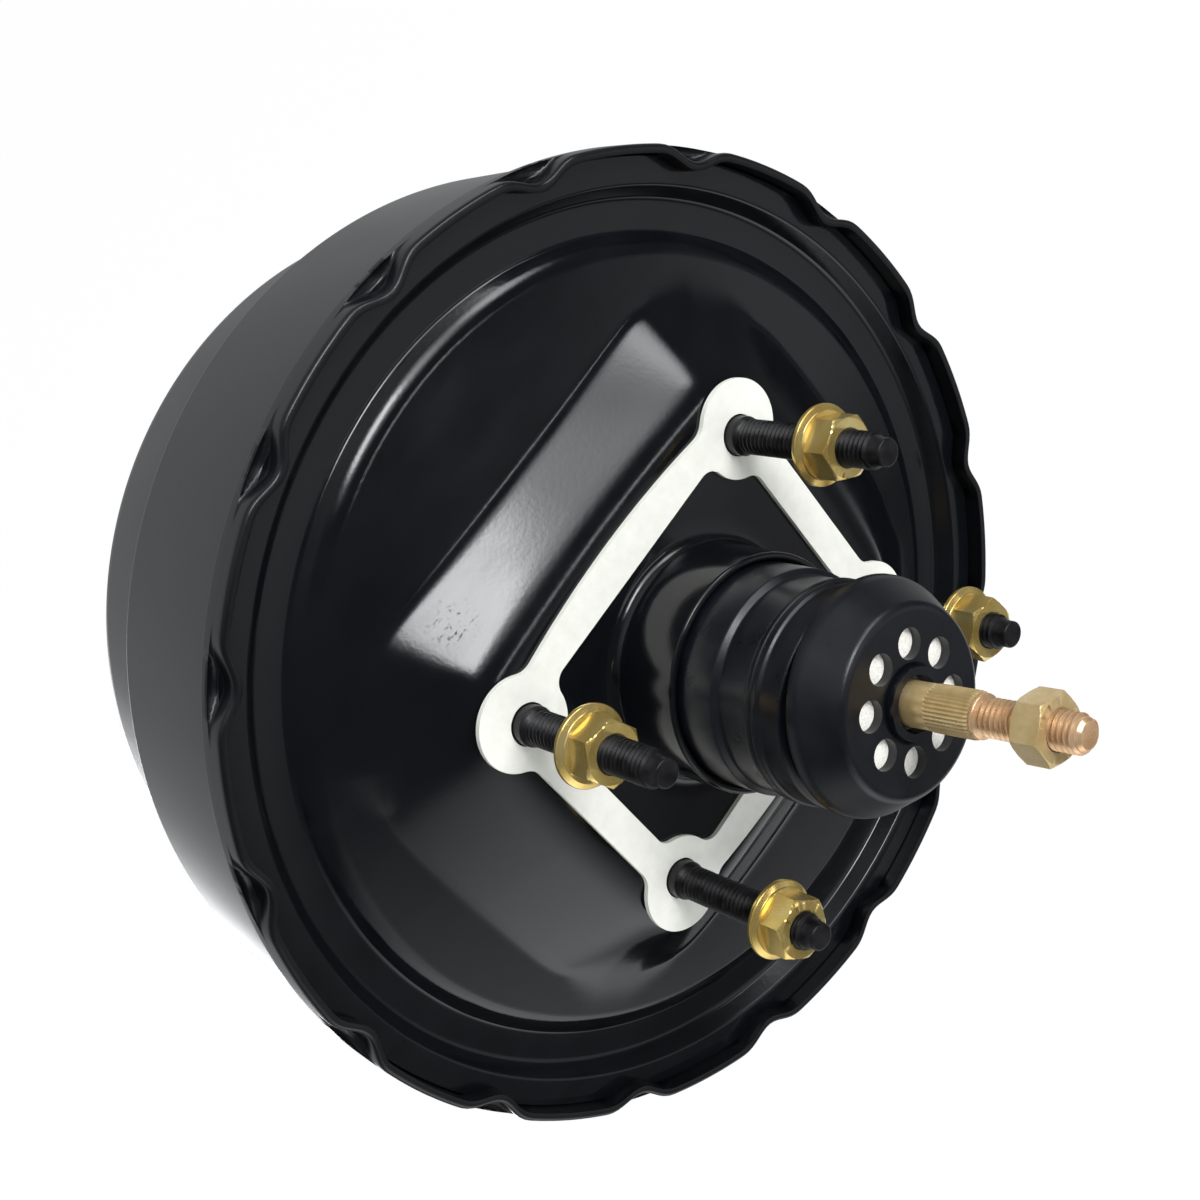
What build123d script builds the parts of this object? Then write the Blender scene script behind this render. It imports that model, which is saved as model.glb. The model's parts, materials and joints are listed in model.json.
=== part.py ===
from build123d import *
import os
from math import cos, radians, sin, tan

# Vacuum brake booster. The origin is the centre of the four bulkhead studs, on the face of the
# gasket that meets the bulkhead. +Y runs into the booster, -Y towards the pedal, +X is the long
# side of the stud rectangle and +Z its short side. Sizes are in millimetres.

# Driving sizes
STUD_SPACING_X = 80.0
STUD_SPACING_Z = 60.0
RIM_R = 111.8
HUB_R = 26.4
HUB_LIP_Y = -17.5
SHEET = 2.0
THREAD_R = 3.9

# Clearances and small edge sizes shared by several pieces
RUNNING_GAP = 0.06
SEAT_GAP = 0.3
EDGE_BREAK = 0.4
CUT_PAST = 1.0

# Bulkhead studs and their nuts
STUD_LENGTH = 43.8
STUD_COLLAR_R = THREAD_R + 0.5
STUD_COLLAR_LENGTH = 4.5
STUD_TAPER_LENGTH = 1.2
STUD_SHANK_R = THREAD_R + 0.3
STUD_WELD_HEAD_R = 7.0
STUD_WELD_HEAD_T = 2.2
STUD_TIP_R = THREAD_R - 0.8
STUD_TIP_LENGTH = 5.0
STUD_PLATE_T = 1.6
STUD_PLATE_MARGIN = 8.0
NUT_AF = 12.6
NUT_HEIGHT = 8.0
NUT_FLANGE_R = 8.7
NUT_FLANGE_T = 1.2
NUT_FLANGE_RISE = 0.8
NUT_PLACES = (0.57, 0.45, 0.70, 0.68)
NUT_TURNS = (8.0, 41.0, 25.0, 52.0)

# Gasket between the pad and the bulkhead
GASKET_T = 1.2
GASKET_EAR_R = 10.4
GASKET_EAR_X = STUD_SPACING_X / 2 + 1.3
GASKET_EAR_Z = STUD_SPACING_Z / 2 + 1.75
GASKET_BOSS_R = 9.8
GASKET_SIDE_OUTER_X = STUD_SPACING_X / 2 + 5.9
GASKET_SIDE_INNER_X = STUD_SPACING_X / 2 - 2.2
GASKET_LONG_INNER_Z = STUD_SPACING_Z / 2 + 1.4
GASKET_LONG_EDGE_Z = STUD_SPACING_Z / 2 + 8.0
GASKET_LONG_BULGE = 2.6
GASKET_LONG_BULGE_X = STUD_SPACING_X / 2 - 6.0
GASKET_WAIST_FILLET = 5.0
GASKET_WINDOW_FILLET = 4.0
GASKET_STUD_CLEARANCE = 0.3

# Rear shell
DISH_CENTRE_Y = 1.35
DISH_SLOPE = 0.2
DISH_EDGE_R = RIM_R - 21.0
DISH_EDGE_ROUND = 5.0
FLANGE_Y = 18.6
FLANGE_INNER_R = RIM_R - 8.5
FLANGE_ROUND = 1.2
FLANGE_GAP = 0.4
TROUGH_INNER_R = RIM_R - 16.4
TROUGH_OUTER_R = RIM_R - 11.1
TROUGH_Y = FLANGE_Y + 4.2
TROUGH_ROUND = 1.8
DIE_DEPTH = 10.0
PAD_HALF_X = STUD_SPACING_X / 2 + 10.7
PAD_HALF_Z = STUD_SPACING_Z / 2 + 13.9
PAD_CORNER_R = 11.0
PAD_FLANK_SPREAD_X = 20.3
PAD_FLANK_SPREAD_Z = 17.1
PAD_FLANK_DEPTH = 14.5
PAD_FOOT_CORNER_R = 20.0
PAD_EDGE_FILLET = 5.0
HUB_WALL = 1.6
HUB_FOOT_FILLET = 3.0

# Front shell and its rim
RIM_WALL = SHEET
RIM_TOP_Y = FLANGE_Y - 4.5
RIM_JOGGLE_Y = FLANGE_Y + SHEET + 1.0
RIM_JOGGLE_RISE = 1.8
RIM_JOGGLE_ROUND = 0.6
RIM_EDGE_ROUND = 0.8
CRIMP_COUNT = 16
CRIMP_PHASE = 19.45
CRIMP_WIDTH = 13.6
CRIMP_DEPTH = 3.1
CRIMP_TIP_ROUND = 2.4
CRIMP_SLIT = 0.5
SKIRT_R = RIM_R - SHEET
SKIRT_ROUND = 3.5
SKIRT_END_R = SKIRT_R - 2.6
SKIRT_END_Y = 69.0
STEP_R = SKIRT_END_R - 5.7
STEP_Y = SKIRT_END_Y + 3.0
NOSE_R = STEP_R - 4.8
NOSE_CORNER_R = 14.0
FRONT_FACE_Y = 112.0
FRONT_PAD_R = 54.0
FRONT_PAD_RISE = 4.0
FRONT_ROUND = 2.5
SPIGOT_BORE_R = 21.0
SPIGOT_COLLAR_DEPTH = 9.0

# Diaphragm and its support plate
DIAPHRAGM_T = 2.0
DIAPHRAGM_BEAD_INNER_R = RIM_R - 7.6
DIAPHRAGM_BEAD_T = 4.4
DIAPHRAGM_OUTER_R = SKIRT_R - SHEET - 2.0
DIAPHRAGM_FOLD_R = RIM_R - 15.8
DIAPHRAGM_FOLD_Y = 46.0
PLATE_R = DIAPHRAGM_FOLD_R - 3.0
PLATE_WALL = 1.6
PLATE_Y = 36.0
PLATE_EDGE_DEPTH = 6.0
PLATE_EDGE_ROUND = 2.5

# Valve body and what moves with it
VALVE_BODY_R = HUB_R - 6.4
VALVE_TAIL_BORE_R = VALVE_BODY_R - 3.6
VALVE_TAIL_Y = HUB_LIP_Y - 28.9
VALVE_SEAT_Y = -8.0
VALVE_HEAD_R = VALVE_BODY_R + 6.0
VALVE_HEAD_Y = 28.0
VALVE_HEAD_T = 14.0
DISC_R = VALVE_BODY_R - 6.0
DISC_T = 6.0
OUTPUT_ROD_R = 5.0
OUTPUT_ROD_HEAD_T = 4.7
OUTPUT_ROD_TIP_Y = 128.0
OUTPUT_ROD_DOME = 4.0
ROD_RETAINER_T = 1.2
RETURN_SPRING_R = VALVE_HEAD_R + 4.0
RETURN_SPRING_WIRE_R = 2.0
RETURN_SPRING_COILS = 6
SPRING_WIRE_SIDES = 8
HUB_SEAL_T = 7.0
HUB_SEAL_Y = HUB_LIP_Y + 11.5
HUB_SEAL_LIP = 1.0
HUB_SEAL_LIP_DEPTH = 2.0

# Valve plunger, its key and the rubber poppet
PLUNGER_R = VALVE_TAIL_BORE_R / 2 - 0.2
PLUNGER_FRONT_Y = 29.0
PLUNGER_TRAVEL = 1.6
PLUNGER_GROOVE_R = PLUNGER_R - 1.7
PLUNGER_CUP_R = PLUNGER_R - 0.5
PLUNGER_CUP_REACH = 0.55
KEY_Y = 8.3
KEY_T = 4.0
KEY_WIDTH = 11.0
KEY_REACH = VALVE_BODY_R + 3.0
KEY_CORNER_R = 1.0
POPPET_BORE_R = PLUNGER_R + 1.6
POPPET_T = 3.5
POPPET_SPRING_R = VALVE_TAIL_BORE_R - 2.9
POPPET_SPRING_WIRE_R = 0.8
POPPET_SPRING_COILS = 4
POPPET_SPRING_LENGTH = 14.0
POPPET_RETAINER_T = 3.0
POPPET_RETAINER_LEDGE = 2.0

# Boot and its end cap
BOOT_R = HUB_R - 2.0
BOOT_WALL = 1.6
BOOT_ROOT_Y = HUB_LIP_Y + 5.5
BOOT_WAIST_Y = HUB_LIP_Y - 10.4
BOOT_WAIST_R = HUB_R - 3.3
BOOT_WAIST_DROP = 0.8
BOOT_RING_R = HUB_R - 2.6
BOOT_RING_Y = HUB_LIP_Y - 20.5
BOOT_RING_T = 1.3
BOOT_RING_SIDE = 0.6
BOOT_END_Y = HUB_LIP_Y - 28.5
CAP_GROOVE_R = HUB_R - 4.0
CAP_GROOVE_Y = BOOT_END_Y - 0.6
CAP_R = HUB_R - 1.7
CAP_START_Y = CAP_GROOVE_Y - 2.0
CAP_BAND = 1.8
CAP_NOSE_ROUND = 5.0
CAP_SHOULDER_R = HUB_R - 4.4
CAP_SHOULDER_Y = CAP_START_Y - 6.3
CAP_FACE_R = HUB_R - 6.8
CAP_FACE_Y = CAP_START_Y - 10.2
CAP_FACE_ROUND = 2.2
CAP_WALL = 2.2
CAP_LIP_R = VALVE_BODY_R - 3.0
CAP_COLLAR_R = 7.5
CAP_COLLAR_RISE = 1.5
CAP_COLLAR_GROOVE = 0.4
CAP_ROD_GAP = 1.2
VENT_COUNT = 8
VENT_R = 3.25
VENT_RING_R = 12.0
VENT_PHASE = 4.0
FILTER_T = 5.0
FILTER_R = VALVE_BODY_R - 3.0
SILENCER_T = 6.0
SILENCER_BORE_R = 7.4

# Input rod, tilted about the ball in the plunger
BALL_Y = -25.0
BALL_R = 4.6
ROD_TILT = 3.53
ROD_TILT_TOWARDS = 33.5
ROD_NECK_R = 3.0
ROD_CORE_R = THREAD_R - 0.4
ROD_CORE_TAPER = 2.0
ROD_SLEEVE_START = 22.0
ROD_SLEEVE_R = THREAD_R + 0.75
ROD_SLEEVE_END = 40.1
ROD_KNURL_R = THREAD_R + 0.9
ROD_KNURL_CHAMFER = 0.3
ROD_KNURL_END = 50.8
ROD_SHOULDER_END = 54.0
ROD_SHOULDER_CHAMFER = 0.8
ROD_NUT_START = 61.9
ROD_NUT_T = 6.5
ROD_LENGTH = 74.8
ROD_LAND_START = ROD_NUT_START + ROD_NUT_T + 0.5
ROD_LAND_R = THREAD_R - 0.5
ROD_TIP_CHAMFER = 1.2

# Check valve in its grommet on the front shell
CHECK_VALVE_ANGLE = -45.0
CHECK_VALVE_RING_R = NOSE_R - 25.7
CHECK_STEM_R = 6.0
CHECK_HEAD_R = 9.5
CHECK_HEAD_T = 12.0
CHECK_HEAD_CHAMFER = 1.5
GROMMET_GROOVE_R = CHECK_STEM_R + 2.5
GROMMET_LIP = 1.5
GROMMET_LIP_T = 2.5
GROMMET_R = GROMMET_GROOVE_R + 2.8
GROMMET_FLANGE_T = 3.0
HOSE_PIPE_R = 5.0
HOSE_PIPE_LENGTH = 26.0
HOSE_BORE_R = 3.5
HOSE_BARB_R = HOSE_PIPE_R + 1.0
HOSE_BARB_START = 18.0
HOSE_BARB_LAND = 3.0

# Master cylinder studs, their plate and the front seal
MASTER_SPACING_X = 84.0
MASTER_STUD_LENGTH = 24.0
MASTER_COLLAR_LENGTH = 4.0
MASTER_TIP_CHAMFER = 1.0
FRONT_PLATE_R = 49.0
FRONT_PLATE_T = 2.5
FRONT_SEAL_T = 6.0
FRONT_SEAL_BORE_R = SPIGOT_BORE_R - 4.0
FRONT_SEAL_LIP = 1.5
FRONT_SEAL_LIP_DEPTH = 2.0


def turned(*points):
    """A solid turned about the Y axis from (radius, y) points that run round its section."""
    return revolve(make_face(Polyline(*points, close=True)), Axis.Y)


def pressed(points, rounds, wall, side):
    """Pressed sheet of revolution: the outer line's (radius, y) points, with a round at each turn."""
    line = FilletPolyline(*points, radius=rounds)
    return revolve(make_face(offset(line, wall, side=side, closed=True)), Axis.Y)


def disc(radius, y_start, y_end, x=0.0, z=0.0):
    """A round bar along Y between two heights."""
    plane = Plane((x, y_end, z), x_dir=(1, 0, 0), z_dir=(0, -1, 0))
    return extrude(plane * Circle(radius), y_end - y_start)


def slab(sketch, y_start, y_end):
    """A flat piece along Y, from a sketch whose axes are X and Z."""
    plane = Plane((0, y_end, 0), x_dir=(1, 0, 0), z_dir=(0, -1, 0))
    return extrude(plane * sketch, y_end - y_start)


def stud_places():
    """The four stud centres, anticlockwise from +X +Z as the pedal side sees them."""
    half_x = STUD_SPACING_X / 2
    half_z = STUD_SPACING_Z / 2
    return [(half_x, half_z), (-half_x, half_z), (-half_x, -half_z), (half_x, -half_z)]


def at_studs(make):
    """The group of one piece at each bulkhead stud."""
    return Compound(children=[make(x, z) for x, z in stud_places()])


def gasket():
    """Flat gasket: four strips joined by round ears that surround the studs."""
    arc_r = (GASKET_LONG_BULGE_X ** 2 + GASKET_LONG_BULGE ** 2) / (2 * GASKET_LONG_BULGE)
    outline = Sketch() + Rectangle(2 * GASKET_SIDE_OUTER_X, 2 * GASKET_EAR_Z)
    outline += Rectangle(2 * GASKET_LONG_BULGE_X, 2 * GASKET_LONG_EDGE_Z)
    for sign in (-1, 1):
        strip = Pos(0, sign * GASKET_LONG_EDGE_Z) * Rectangle(2 * GASKET_LONG_BULGE_X, GASKET_EAR_R)
        outline += Pos(0, sign * (GASKET_LONG_EDGE_Z + GASKET_LONG_BULGE - arc_r)) * Circle(arc_r) & strip
    outline += [Pos(sx * GASKET_EAR_X, sz * GASKET_EAR_Z) * Circle(GASKET_EAR_R)
                for sx in (-1, 1) for sz in (-1, 1)]
    plate = slab(outline, 0, GASKET_T)
    plate = fillet(plate.edges().filter_by(Axis.Y), GASKET_WAIST_FILLET)
    window = Sketch() + Rectangle(2 * GASKET_SIDE_INNER_X, 2 * GASKET_LONG_INNER_Z)
    window -= [Pos(x, z) * Circle(GASKET_BOSS_R) for x, z in stud_places()]
    window = slab(window, 0, GASKET_T)
    plate -= fillet(window.edges().filter_by(Axis.Y), GASKET_WINDOW_FILLET)
    for x, z in stud_places():
        plate -= disc(STUD_COLLAR_R + GASKET_STUD_CLEARANCE, 0, GASKET_T, x, z)
    return plate


def stud(x, z):
    """Weld stud: head behind the shell, shank, plain collar, thread and dog point."""
    back = GASKET_T + SHEET + STUD_PLATE_T
    taper_end = STUD_COLLAR_LENGTH + STUD_TAPER_LENGTH
    thread_end = STUD_LENGTH - STUD_TIP_LENGTH
    body = turned((0, back + STUD_WELD_HEAD_T), (STUD_WELD_HEAD_R, back + STUD_WELD_HEAD_T),
                  (STUD_WELD_HEAD_R, back), (STUD_SHANK_R, back), (STUD_SHANK_R, 0),
                  (STUD_COLLAR_R, 0), (STUD_COLLAR_R, -STUD_COLLAR_LENGTH),
                  (THREAD_R, -taper_end), (THREAD_R, -thread_end + THREAD_R - STUD_TIP_R),
                  (STUD_TIP_R, -thread_end), (STUD_TIP_R, -STUD_LENGTH + EDGE_BREAK),
                  (STUD_TIP_R - EDGE_BREAK, -STUD_LENGTH), (0, -STUD_LENGTH))
    return Pos(x, 0, z) * body


def hex_nut(height):
    """Hex nut along Y from y = 0 to y = -height, both faces chamfered round."""
    hexagon = RegularPolygon(NUT_AF / 2, 6, major_radius=False)
    corner_r = NUT_AF / 2 / cos(radians(30))
    bevel = (corner_r - NUT_AF / 2) * tan(radians(30))
    cone = turned((0, 0), (NUT_AF / 2, 0), (corner_r, -bevel),
                  (corner_r, -height + bevel), (NUT_AF / 2, -height), (0, -height))
    return slab(hexagon, -height, 0) & cone - disc(THREAD_R, -height - CUT_PAST, CUT_PAST)


def flange_nut(index):
    """Flange nut run part of the way up its stud."""
    x, z = stud_places()[index]
    rise_y = -NUT_FLANGE_T - NUT_FLANGE_RISE
    flange = turned((0, 0), (NUT_FLANGE_R, 0), (NUT_FLANGE_R, -NUT_FLANGE_T + EDGE_BREAK),
                    (NUT_FLANGE_R - EDGE_BREAK, -NUT_FLANGE_T), (NUT_AF / 2, rise_y), (0, rise_y))
    nut = hex_nut(NUT_HEIGHT) + flange - disc(THREAD_R, -NUT_HEIGHT, 0)
    return Pos(x, -STUD_LENGTH * NUT_PLACES[index], z) * Rot(0, NUT_TURNS[index], 0) * nut


def flange_nuts():
    """The four flange nuts."""
    return Compound(children=[flange_nut(i) for i in range(len(NUT_PLACES))])


def stud_plate():
    """Ring-shaped plate behind the pad that spreads the load of the four studs."""
    outline = RectangleRounded(STUD_SPACING_X + 2 * STUD_PLATE_MARGIN,
                               STUD_SPACING_Z + 2 * STUD_PLATE_MARGIN, STUD_PLATE_MARGIN)
    holes = [Pos(x, z) * Circle(STUD_SHANK_R) for x, z in stud_places()]
    start = GASKET_T + SHEET
    return slab(outline - Circle(HUB_R + SHEET) - holes, start, start + STUD_PLATE_T)


def press_die():
    """The filled form under the rear shell's outer face: dish, trough, flange and raised pad."""
    back = TROUGH_Y + DIE_DEPTH
    dish_edge_y = DISH_CENTRE_Y + DISH_SLOPE * DISH_EDGE_R
    rounds = [DISH_EDGE_ROUND, TROUGH_ROUND, TROUGH_ROUND, FLANGE_ROUND]
    line = FilletPolyline((0, DISH_CENTRE_Y), (DISH_EDGE_R, dish_edge_y), (TROUGH_INNER_R, TROUGH_Y),
                          (TROUGH_OUTER_R, TROUGH_Y), (FLANGE_INNER_R, FLANGE_Y), (RIM_R, FLANGE_Y),
                          radius=rounds)
    close = Polyline((RIM_R, FLANGE_Y), (RIM_R, back), (0, back), (0, DISH_CENTRE_Y))
    dish = revolve(make_face(line + close), Axis.Y)
    top = Plane((0, GASKET_T, 0), x_dir=(1, 0, 0), z_dir=(0, -1, 0))
    foot = top.offset(-PAD_FLANK_DEPTH)
    pad = loft([top * RectangleRounded(2 * PAD_HALF_X, 2 * PAD_HALF_Z, PAD_CORNER_R),
                foot * RectangleRounded(2 * (PAD_HALF_X + PAD_FLANK_SPREAD_X),
                                        2 * (PAD_HALF_Z + PAD_FLANK_SPREAD_Z), PAD_FOOT_CORNER_R)])
    pad = fillet(pad.faces().sort_by(Axis.Y)[0].edges(), PAD_EDGE_FILLET)
    return dish + (pad & disc(DISH_EDGE_R, 0, back))


def rear_shell():
    """Rear shell: pressed sheet with the stud pad, the hub neck and the flange under the crimps."""
    die = press_die()
    body = die - Pos(0, SHEET, 0) * die
    body &= disc(RIM_R - RIM_WALL - FLANGE_GAP, HUB_LIP_Y, TROUGH_Y + SHEET + CUT_PAST)
    body -= disc(HUB_R, HUB_LIP_Y, TROUGH_Y + SHEET)
    neck = turned((HUB_R - HUB_WALL, HUB_LIP_Y), (HUB_R, HUB_LIP_Y), (HUB_R, GASKET_T),
                  (HUB_R, GASKET_T + SHEET), (HUB_R - HUB_WALL, GASKET_T + SHEET))
    foot = turned((HUB_R, GASKET_T), (HUB_R, GASKET_T - HUB_FOOT_FILLET),
                  (HUB_R + HUB_FOOT_FILLET, GASKET_T))
    body = body + neck + foot
    for x, z in stud_places():
        body -= disc(STUD_SHANK_R, 0, TROUGH_Y, x, z)
    return body


def crimp_outline(inset):
    """The V that a lance makes in the rim, seen along Y, moved towards the axis by an inset."""
    half = CRIMP_WIDTH / 2
    tip_x = RIM_R - CRIMP_DEPTH - inset
    mouth_x = tip_x + 2 * CRIMP_DEPTH
    dent = FilletPolyline((mouth_x, -2 * half), (tip_x, 0), (mouth_x, 2 * half), radius=CRIMP_TIP_ROUND)
    return make_face(dent + Line((mouth_x, 2 * half), (mouth_x, -2 * half)))


def crimp_notch():
    """What one lance clears from the rim, down to its slit."""
    return slab(crimp_outline(0), RIM_TOP_Y, FLANGE_Y + CRIMP_SLIT)


def crimp_tab():
    """The strip of rim that one lance pushes in over the rear shell's flange."""
    strip = crimp_outline(RIM_WALL) - crimp_outline(0)
    return slab(strip & Circle(RIM_R - RIM_WALL / 2), RIM_TOP_Y, FLANGE_Y)


def front_shell():
    """Front shell: crimped rim, joggle, long tapered skirt, stepped nose and master cylinder pad."""
    pad_y = FRONT_FACE_Y + FRONT_PAD_RISE
    body = pressed([(RIM_R, RIM_TOP_Y), (RIM_R, RIM_JOGGLE_Y), (SKIRT_R, RIM_JOGGLE_Y + RIM_JOGGLE_RISE),
                    (SKIRT_END_R, SKIRT_END_Y), (STEP_R, STEP_Y), (NOSE_R, FRONT_FACE_Y),
                    (FRONT_PAD_R + FRONT_PAD_RISE, FRONT_FACE_Y), (FRONT_PAD_R, pad_y),
                    (SPIGOT_BORE_R, pad_y), (SPIGOT_BORE_R, pad_y - SPIGOT_COLLAR_DEPTH)],
                   [RIM_JOGGLE_ROUND, RIM_JOGGLE_ROUND, SKIRT_ROUND, FRONT_ROUND, NOSE_CORNER_R,
                    FRONT_ROUND, FRONT_ROUND, FRONT_ROUND], RIM_WALL, Side.LEFT)
    half = MASTER_SPACING_X / 2
    for x in (-half, half):
        body -= disc(STUD_SHANK_R, pad_y - SHEET - CUT_PAST, pad_y + CUT_PAST, x, 0)
    angle = radians(CHECK_VALVE_ANGLE)
    body -= disc(GROMMET_GROOVE_R, FRONT_FACE_Y - SHEET - CUT_PAST, FRONT_FACE_Y + CUT_PAST,
                 CHECK_VALVE_RING_R * cos(angle), CHECK_VALVE_RING_R * sin(angle))
    rim_top = body.faces().sort_by(Axis.Y)[0].edges().sort_by(SortBy.RADIUS)[-1]
    body = fillet(rim_top, RIM_EDGE_ROUND)
    turns = [Rot(0, -CRIMP_PHASE - 360 / CRIMP_COUNT * i, 0) for i in range(CRIMP_COUNT)]
    body -= [turn * crimp_notch() for turn in turns]
    return body + [turn * crimp_tab() for turn in turns]


def diaphragm():
    """Rolling rubber diaphragm: outer bead under the crimps, one fold, and a disc on the plate."""
    bead_y = FLANGE_Y + SHEET
    outer_r = SKIRT_R - SHEET - SEAT_GAP
    disc_y = PLATE_Y - DIAPHRAGM_T
    return turned((DIAPHRAGM_BEAD_INNER_R, bead_y), (outer_r, bead_y),
                  (outer_r, bead_y + DIAPHRAGM_BEAD_T), (DIAPHRAGM_OUTER_R, DIAPHRAGM_FOLD_Y),
                  (DIAPHRAGM_FOLD_R - DIAPHRAGM_T, DIAPHRAGM_FOLD_Y),
                  (DIAPHRAGM_FOLD_R - DIAPHRAGM_T, PLATE_Y), (VALVE_HEAD_R, PLATE_Y),
                  (VALVE_HEAD_R, disc_y), (DIAPHRAGM_FOLD_R, disc_y),
                  (DIAPHRAGM_FOLD_R, DIAPHRAGM_FOLD_Y - DIAPHRAGM_T),
                  (DIAPHRAGM_BEAD_INNER_R, DIAPHRAGM_FOLD_Y - DIAPHRAGM_T))


def support_plate():
    """Steel plate in front of the diaphragm, with a turned edge."""
    return pressed([(VALVE_HEAD_R, PLATE_Y), (PLATE_R, PLATE_Y), (PLATE_R, PLATE_Y + PLATE_EDGE_DEPTH)],
                   [PLATE_EDGE_ROUND], PLATE_WALL, Side.LEFT)


def valve_body():
    """Moulded valve body: tail tube for the filter and poppet, plunger bore and stepped head."""
    head_end = VALVE_HEAD_Y + VALVE_HEAD_T
    recess_y = head_end - DISC_T - OUTPUT_ROD_HEAD_T
    bore_r = PLUNGER_R + RUNNING_GAP
    body = turned((VALVE_TAIL_BORE_R, VALVE_TAIL_Y), (VALVE_BODY_R, VALVE_TAIL_Y),
                  (VALVE_BODY_R, VALVE_HEAD_Y), (VALVE_HEAD_R, VALVE_HEAD_Y),
                  (VALVE_HEAD_R, head_end), (DISC_R + RUNNING_GAP, head_end),
                  (DISC_R + RUNNING_GAP, recess_y), (bore_r, recess_y), (bore_r, VALVE_SEAT_Y),
                  (VALVE_TAIL_BORE_R, VALVE_SEAT_Y))
    slot = Pos(KEY_REACH / 2, KEY_Y + KEY_T / 2, 0) * Box(KEY_REACH, KEY_T, KEY_WIDTH)
    return body - slot


def plunger():
    """Valve plunger: front land, groove for the key, and the cup that holds the rod's ball."""
    groove_start = KEY_Y - SEAT_GAP - PLUNGER_TRAVEL
    groove_end = KEY_Y + KEY_T + SEAT_GAP
    cup_end = BALL_Y - BALL_R * PLUNGER_CUP_REACH
    body = turned((0, PLUNGER_FRONT_Y), (PLUNGER_R, PLUNGER_FRONT_Y), (PLUNGER_R, groove_end),
                  (PLUNGER_GROOVE_R, groove_end), (PLUNGER_GROOVE_R, groove_start),
                  (PLUNGER_R, groove_start), (PLUNGER_R, VALVE_SEAT_Y), (PLUNGER_CUP_R, VALVE_SEAT_Y),
                  (PLUNGER_CUP_R, cup_end), (0, cup_end))
    return body - Pos(0, BALL_Y, 0) * Sphere(BALL_R + RUNNING_GAP)


def stop_key():
    """Flat key through the valve body that limits the plunger's travel."""
    inner_x = PLUNGER_GROOVE_R + SEAT_GAP
    length = KEY_REACH - inner_x
    key = Pos(inner_x + length / 2, KEY_Y + KEY_T / 2, 0) * Box(length, KEY_T, KEY_WIDTH)
    return fillet(key.edges().filter_by(Axis.Y), KEY_CORNER_R)


def spring(radius, wire_r, coils, y_start, y_end):
    """Compression spring along Y, its wire's section a polygon close to round."""
    height = y_end - y_start - 2 * wire_r
    path = Helix(height / coils, height, radius)
    section = Plane(path @ 0, z_dir=path % 0) * RegularPolygon(wire_r, SPRING_WIRE_SIDES)
    coil = sweep(section, path=path, is_frenet=True)
    return Pos(0, y_start + wire_r, 0) * Rot(-90, 0, 0) * coil


def poppet():
    """Rubber poppet disc on the valve seat."""
    return turned((POPPET_BORE_R, VALVE_SEAT_Y), (VALVE_TAIL_BORE_R, VALVE_SEAT_Y),
                  (VALVE_TAIL_BORE_R, VALVE_SEAT_Y - POPPET_T), (POPPET_BORE_R, VALVE_SEAT_Y - POPPET_T))


def poppet_retainer():
    """Ring that the poppet spring pushes from, pressed into the tail bore."""
    start = VALVE_SEAT_Y - POPPET_T - POPPET_SPRING_LENGTH
    end = start - POPPET_RETAINER_T
    bore_r = POPPET_SPRING_R - POPPET_RETAINER_LEDGE
    return disc(VALVE_TAIL_BORE_R, end, start) - disc(bore_r, end, start)


def output_rod():
    """Output rod: flat head in the valve body and a domed tip for the master cylinder."""
    head_end = VALVE_HEAD_Y + VALVE_HEAD_T
    head_start = head_end - OUTPUT_ROD_HEAD_T
    rod = turned((0, head_start), (DISC_R, head_start), (DISC_R, head_end), (OUTPUT_ROD_R, head_end),
                 (OUTPUT_ROD_R, OUTPUT_ROD_TIP_Y), (0, OUTPUT_ROD_TIP_Y))
    return fillet(rod.faces().sort_by(Axis.Y)[-1].edges(), OUTPUT_ROD_DOME)


def boot_bellows():
    """Rubber boot between the hub neck and the cap, with one raised double ring."""
    outer = [(BOOT_R, BOOT_ROOT_Y), (BOOT_R, BOOT_WAIST_Y),
             (BOOT_WAIST_R, BOOT_WAIST_Y - BOOT_WAIST_DROP),
             (BOOT_WAIST_R, BOOT_RING_Y + BOOT_RING_T + BOOT_RING_SIDE),
             (BOOT_RING_R, BOOT_RING_Y + BOOT_RING_T), (BOOT_RING_R, BOOT_RING_Y - BOOT_RING_T),
             (BOOT_WAIST_R, BOOT_RING_Y - BOOT_RING_T - BOOT_RING_SIDE), (BOOT_WAIST_R, BOOT_END_Y)]
    inner = [(BOOT_WAIST_R - BOOT_WALL, BOOT_END_Y), (BOOT_WAIST_R - BOOT_WALL, BOOT_ROOT_Y)]
    return turned(*outer, *inner)


def tilted(shape):
    """A piece built straight along -Y, laid over with the input rod about its ball."""
    towards = radians(ROD_TILT_TOWARDS)
    return shape.rotate(Axis((0, BALL_Y, 0), (-sin(towards), 0, cos(towards))), ROD_TILT)


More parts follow.
